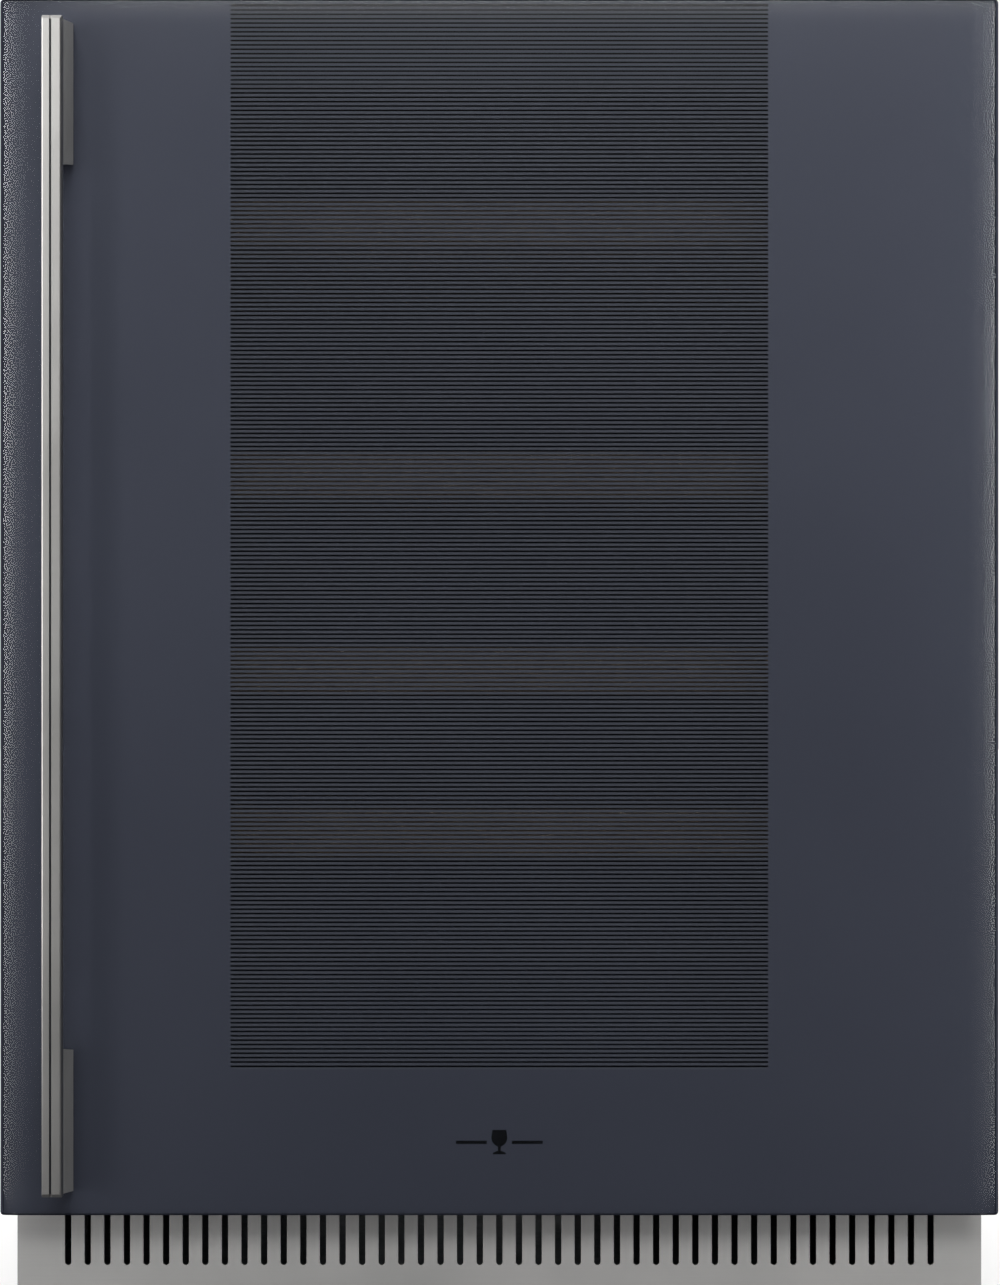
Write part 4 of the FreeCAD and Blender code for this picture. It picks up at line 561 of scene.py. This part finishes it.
lineEnd = glassLook["rimWidth"] + glassLook["rimLinePaintedShade"]
fallInsets = lineEnd + np.linspace(0, 1, 13) * glassLook["edgeBand"]
flatInsets = [glassLook["endLine"], glassLook["rimWidth"], *fallInsets,
              fallInsets[-1] + glassLook["flatStep"]]
insets = [*glassLook["backInsets"], *glassLook["rimInsets"], *flatInsets]
behind = [None] * len(glassLook["backInsets"]) + [*glassLook["rimBehind"]] + [0.0] * len(flatInsets)
rings = []
for index, (inset, extra) in enumerate(zip(insets, behind)):
    outline = roundedRectangle((x0 + inset, z0 + inset), (x1 - inset, z1 - inset), glassLook["corner"], 6,
                               stops)
    if extra is None:
        depth = np.full(len(outline), yBack - glassLook["backStep"] * index)
    else:
        depth = yFront + polishedFall(outline) + extra
    rings.append(np.column_stack([outline[:, 0], depth, outline[:, 1]]))
pane = putMesh("front_pane", *loft(rings), finishes["front_glass"], "door", "front_glass", 50)
pane.data.materials.append(rim)
pane.data.materials.append(rimLinePaintedShade)
# faces along the edge take the rim and line finishes, both painted shade
middle = np.zeros(len(pane.data.polygons) * 3, np.float32)
pane.data.polygons.foreach_get("center", middle)
beside = x1 - np.abs(middle[0::3] / mm)
fromEnd = np.minimum(z1 - middle[2::3] / mm, middle[2::3] / mm - z0)
part = np.select([beside < glassLook["rimWidth"], beside < lineEnd, fromEnd < glassLook["endLine"]],
                 [1, 2, 2], 0)
pane.data.polygons.foreach_set("material_index", part.astype(np.int32))
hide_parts("outer_glass")

coatFront, coatBack = (yBack + depth for depth in glassLook["coat"])
inset = glassLook["lacquerInset"]
half, foot = glassLook["windowHalf"], glassLook["windowFoot"]
head = z1 - glassLook["windowHeadGap"]
coatEdge = roundedRectangle((x0 + inset, z0 + inset), (x1 - inset, z1 - inset), glassLook["corner"] - inset)
windowEdge = roundedRectangle((-half, foot), (half, head), 0.3)
coatLoops = [np.column_stack([edge[:, 0], np.full(len(edge), y), edge[:, 1]])
             for edge, y in ((coatEdge, coatFront), (windowEdge, coatFront), (windowEdge, coatBack),
                             (coatEdge, coatBack))]
putMesh("glass_lacquer", *loft(coatLoops, closed=True), lacquer, "door", "front_glass")

pitch, height = glassLook["stripePitch"], glassLook["stripeHeight"]
stripeFoot = np.arange(foot, head - height, pitch)
stripeLow = np.column_stack([np.full(len(stripeFoot), -half), np.full(len(stripeFoot), coatFront),
                             stripeFoot])
stripeHigh = np.column_stack([np.full(len(stripeFoot), half), np.full(len(stripeFoot), coatBack),
                              stripeFoot + height])
putMesh("window_stripes", *boxes(stripeLow, stripeHigh), stripeInk, "door", "front_glass")

# black print behind the topmost stripes, where the door frame is bonded to the glass
backingFront, backingBack = (yBack + depth for depth in glassLook["backing"])
backingHalf = half + glassLook["backingSide"]
backingLow = [[-backingHalf, backingFront, head - glassLook["bonded"]]]
backingHigh = [[backingHalf, backingBack, z1 - inset - glassLook["backingEnd"]]]
putMesh("window_backing", *boxes(backingLow, backingHigh), markInk, "door", "front_glass")

# the mark near the foot of the glass: a stemmed glass between two rules
markLook = {"z": 134.0, "rule": 18.5, "gap": 7.5, "line": 2.0, "bowl": 4.8, "stem": 0.8,
            "stretch": 1.15, "cup": 3.0, "lip": (0.86, 7.4), "stemFoot": -5.0, "base": (0.8, -6.2, -7.2)}
markFront, markBack = (yBack + depth for depth in glassLook["mark"])
cz, bowl, stem, line = (markLook[key] for key in ("z", "bowl", "stem", "line"))
cup = arc((0, 0), bowl, 180, 360, 17) * [1, markLook["stretch"]] + [0, cz + markLook["cup"]]
lip = [bowl * markLook["lip"][0], cz + markLook["lip"][1]]
base, baseTop, baseFoot = bowl * markLook["base"][0], cz + markLook["base"][1], cz + markLook["base"][2]
stemFoot = cz + markLook["stemFoot"]
goblet = np.concatenate([[[-lip[0], lip[1]]], cup[:8], [[-stem, stemFoot], [-base, baseTop],
                         [-base, baseFoot], [base, baseFoot], [base, baseTop], [stem, stemFoot]],
                         cup[9:], [lip]])
ruleLow = [[markLook["gap"], markFront, cz - line / 2],
           [-markLook["gap"] - markLook["rule"], markFront, cz - line / 2]]
ruleHigh = np.array(ruleLow) + [markLook["rule"], markBack - markFront, line]
putMesh("glass_mark", *joined([plate(goblet, markFront, markBack), boxes(ruleLow, ruleHigh)]), markInk,
        "door", "front_glass")

# black strip sunk in the groove between the two lengths of the handle bar: painted shade for the groove's
# shadow
barLow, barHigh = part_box("handle_bar")
grooveShadeLook = {"offset": -0.95, "half": 0.63, "sunk": 0.35, "deep": 2.9, "short": 2.4}
grooveShadeX = (barLow.x + barHigh.x) / 2 / mm + grooveShadeLook["offset"]
grooveShadeLow = [[grooveShadeX - grooveShadeLook["half"], barLow.y / mm + grooveShadeLook["sunk"], barLow.z / mm + grooveShadeLook["short"]]]
grooveShadeHigh = [[grooveShadeX + grooveShadeLook["half"], barLow.y / mm + grooveShadeLook["deep"], barHigh.z / mm - grooveShadeLook["short"]]]
putMesh("handle_groove_shade", *boxes(grooveShadeLow, grooveShadeHigh), finishes["trim_plastic"], "door", "handle_aluminium")
print("front glass done:", len(stripeFoot), "stripes")

# door seal: one hollow-looking bellows section carried round the door
sealSection = np.array([  # inward from the outer line, and out from the door frame
    [1.5, 0.0], [1.5, 0.9], [3.9, 1.5], [1.3, 2.6], [0.5, 4.0], [1.2, 4.9], [3.0, 5.5], [0.6, 6.2],
    [0.0, 6.9], [0.0, 8.2], [0.5, 8.7], [14.5, 8.7], [15.0, 8.2], [15.0, 6.9], [14.4, 6.2], [12.0, 5.5],
    [13.8, 4.9], [14.5, 4.0], [13.7, 2.6], [11.1, 1.5], [13.5, 0.9], [13.5, 0.0]])
sealLow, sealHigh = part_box("door_gasket")
baseY, faceY = sealLow.y / mm, sealHigh.y / mm
inward, rise = sealSection[:, 0], sealSection[:, 1] / sealSection[:, 1].max() * (faceY - baseY)
cornerLoops = []
for sx, sz in ((1, 1), (-1, 1), (-1, -1), (1, -1)):
    xs = np.where(sx > 0, sealHigh.x / mm - inward, sealLow.x / mm + inward)
    zs = np.where(sz > 0, sealHigh.z / mm - inward, sealLow.z / mm + inward)
    cornerLoops.append(np.column_stack([xs, baseY + rise, zs]))
seal = putMesh("door_seal", *loft(cornerLoops, closed=True), finishes["gasket_rubber"], "door",
               "gasket_rubber", 30)
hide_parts("door_gasket")
print("door seal done")

# button icons and display
iconLook = {"line": 0.7, "raise": 0.08, "sunk": 0.02, "size": 2.0}


def iconOn(node, body, strokes):
    # strokes are lists of (x, z) points about the middle of the button, closed ones marked
    low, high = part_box(node)
    centre = np.array([(low.x + high.x) / 2, (low.z + high.z) / 2]) / mm
    face = low.y / mm
    parts = [inkLine(np.asarray(points, float) * iconLook["size"] + centre, iconLook["line"],
                     face - iconLook["raise"], face + iconLook["sunk"], closed) for points, closed in strokes]
    putMesh("icon_" + body, *joined(parts), paleInkAndLitDigits, body, "button_plastic")


level = [[-1, 0], [1, 0]]
upright = [[0, -1], [0, 1]]
lampRays = [([[0.95 * math.cos(a), 0.95 * math.sin(a)], [1.5 * math.cos(a), 1.5 * math.sin(a)]], False)
            for a in np.radians(np.arange(0, 360, 60))]
iconOn("button_power", "power_button", [(arc((0, -0.1), 1.0, 125, 415), False),
                                        ([[0, 0.3], [0, 1.3]], False)])
iconOn("button_light", "light_button", [(arc((0, 0), 0.55, 0, 345), True)] + lampRays)
iconOn("button_minus", "minus_button", [(level, False)])
iconOn("button_plus", "plus_button", [(level, False), (upright, False)])

displayLow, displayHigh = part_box("display_lens")
segmentEnds = {"top": (0, 2, 2, 2), "upperRight": (2, 1, 2, 2), "lowerRight": (2, 0, 2, 1),
               "foot": (0, 0, 2, 0), "lowerLeft": (0, 0, 0, 1), "middle": (0, 1, 2, 1)}
digits = {"one": ("upperRight", "lowerRight"), "two": ("top", "upperRight", "middle", "lowerLeft", "foot")}
digitLook = {"half": 2.9, "wide": 2.0, "step": 9.0, "shift": 2.5, "gap": 0.35, "line": 0.8, "raise": 0.05,
             "sunk": 0.01}
displayFace = displayLow.y / mm
digitFoot = (displayLow.z + displayHigh.z) / 2 / mm - digitLook["half"]
digitParts = []
for place, digit in enumerate(("one", "two")):
    start = -digitLook["step"] + place * digitLook["step"]
    for segment in digits[digit]:
        ax, az, bx, bz = segmentEnds[segment]
        ends = np.array([[ax, az], [bx, bz]]) * [digitLook["wide"], digitLook["half"]]
        reach = (ends[1] - ends[0]) / np.linalg.norm(ends[1] - ends[0]) * digitLook["gap"]
        ends = ends + np.array([reach, -reach]) + [start + digitLook["shift"], digitFoot]
        digitParts.append(inkLine(ends, digitLook["line"], displayFace - digitLook["raise"],
                                  displayFace + digitLook["sunk"]))
# pale digits on the dark display: painted light, for lit segments
putMesh("display_digits", *joined(digitParts), paleInkAndLitDigits, "cabinet", "display_plastic")
print("console done")

# back: pressed beads, foam plugs and a blank rating plate on the upper rear sheet
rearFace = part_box("rear_panels")[1].y / mm
rearLook = {"bead": 12.0, "raise": 1.3, "smallest": 2.0, "plug": 11.0, "plugRaise": 1.7,
            "beads": (((-222.0, 345.0), (222.0, 770.0), 26.0), ((-150.0, 400.0), (-26.0, 715.0), 18.0),
                      ((26.0, 400.0), (150.0, 600.0), 18.0)),
            "plugs": ((-150.0, 306.0), (150.0, 306.0), (0.0, 793.0))}
beads = []
for low, high, corner in rearLook["beads"]:
    loops = []
    for share, lift in ((0.0, -0.1), (0.3, 1.0), (0.7, 1.0), (1.0, -0.1)):
        inset = share * rearLook["bead"]
        ring = roundedRectangle((low[0] + inset, low[1] + inset), (high[0] - inset, high[1] - inset),
                                max(corner - inset, rearLook["smallest"]), 8)
        depth = rearFace + lift * rearLook["raise"]
        loops.append(np.column_stack([ring[:, 0], np.full(len(ring), depth), ring[:, 1]]))
    beads.append(loft(loops, closed=True))
putMesh("rear_beads", *joined(beads), finishes["zinc_sheet"], "cabinet", "zinc_sheet", 50)
plugs = []
for place in rearLook["plugs"]:
    loops = []
    for radius, lift in ((1.0, -0.1), (1.0, 0.5), (0.93, 0.9), (0.62, 0.9), (0.55, 0.35), (0.2, 0.3)):
        ring = arc(place, radius * rearLook["plug"], 0, 345)
        depth = rearFace + lift * rearLook["plugRaise"]
        loops.append(np.column_stack([ring[:, 0], np.full(len(ring), depth), ring[:, 1]]))
    plugs.append(loft(loops))
putMesh("foam_plugs", *joined(plugs), finishes["inlet_plastic"], "cabinet", "inlet_plastic", 40)

plateLook = {"low": (40.0, 640.0), "high": (130.0, 700.0), "corner": 2.5, "depth": (-0.05, 0.15),
             "ink": 0.2, "margin": 3, "ringCorner": 1.5, "ringLine": 0.6, "line": 0.4, "first": 12,
             "last": 8, "step": 9.0}
(plateX, plateZ), (plateEnd, plateHead) = plateLook["low"], plateLook["high"]
margin = plateLook["margin"]
plateFace, inkFace = rearFace + plateLook["depth"][1], rearFace + plateLook["ink"]
sticker = roundedRectangle(plateLook["low"], plateLook["high"], plateLook["corner"])
putMesh("rating_plate", *plate(sticker, rearFace + plateLook["depth"][0], plateFace), paleInkAndLitDigits, "cabinet",
        "zinc_sheet")
frameRing = roundedRectangle((plateX + margin, plateZ + margin), (plateEnd - margin, plateHead - margin),
                             plateLook["ringCorner"])
ruled = [inkLine(frameRing, plateLook["ringLine"], plateFace, inkFace, True)]
ruled += [inkLine([[plateX + margin, z], [plateEnd - margin, z]], plateLook["line"], plateFace, inkFace)
          for z in np.arange(plateZ + plateLook["first"], plateHead - plateLook["last"], plateLook["step"])]
putMesh("plate_rules", *joined(ruled), markInk, "cabinet", "zinc_sheet")
print("back done")

# floor
floorSize = 9000    # half its side
floorPoints = [[-floorSize, -floorSize, 0], [floorSize, -floorSize, 0], [floorSize, floorSize, 0],
               [-floorSize, floorSize, 0]]
floor = putMesh("studio_floor", floorPoints, [[0, 1, 2, 3]], floorPaper, None, None)
floor.visible_diffuse = False
floor.visible_glossy = False
floorOnly.objects.link(floor)
notFloor.objects.link(floor)
notFloor.collection_objects[0].light_linking.link_state = "EXCLUDE"
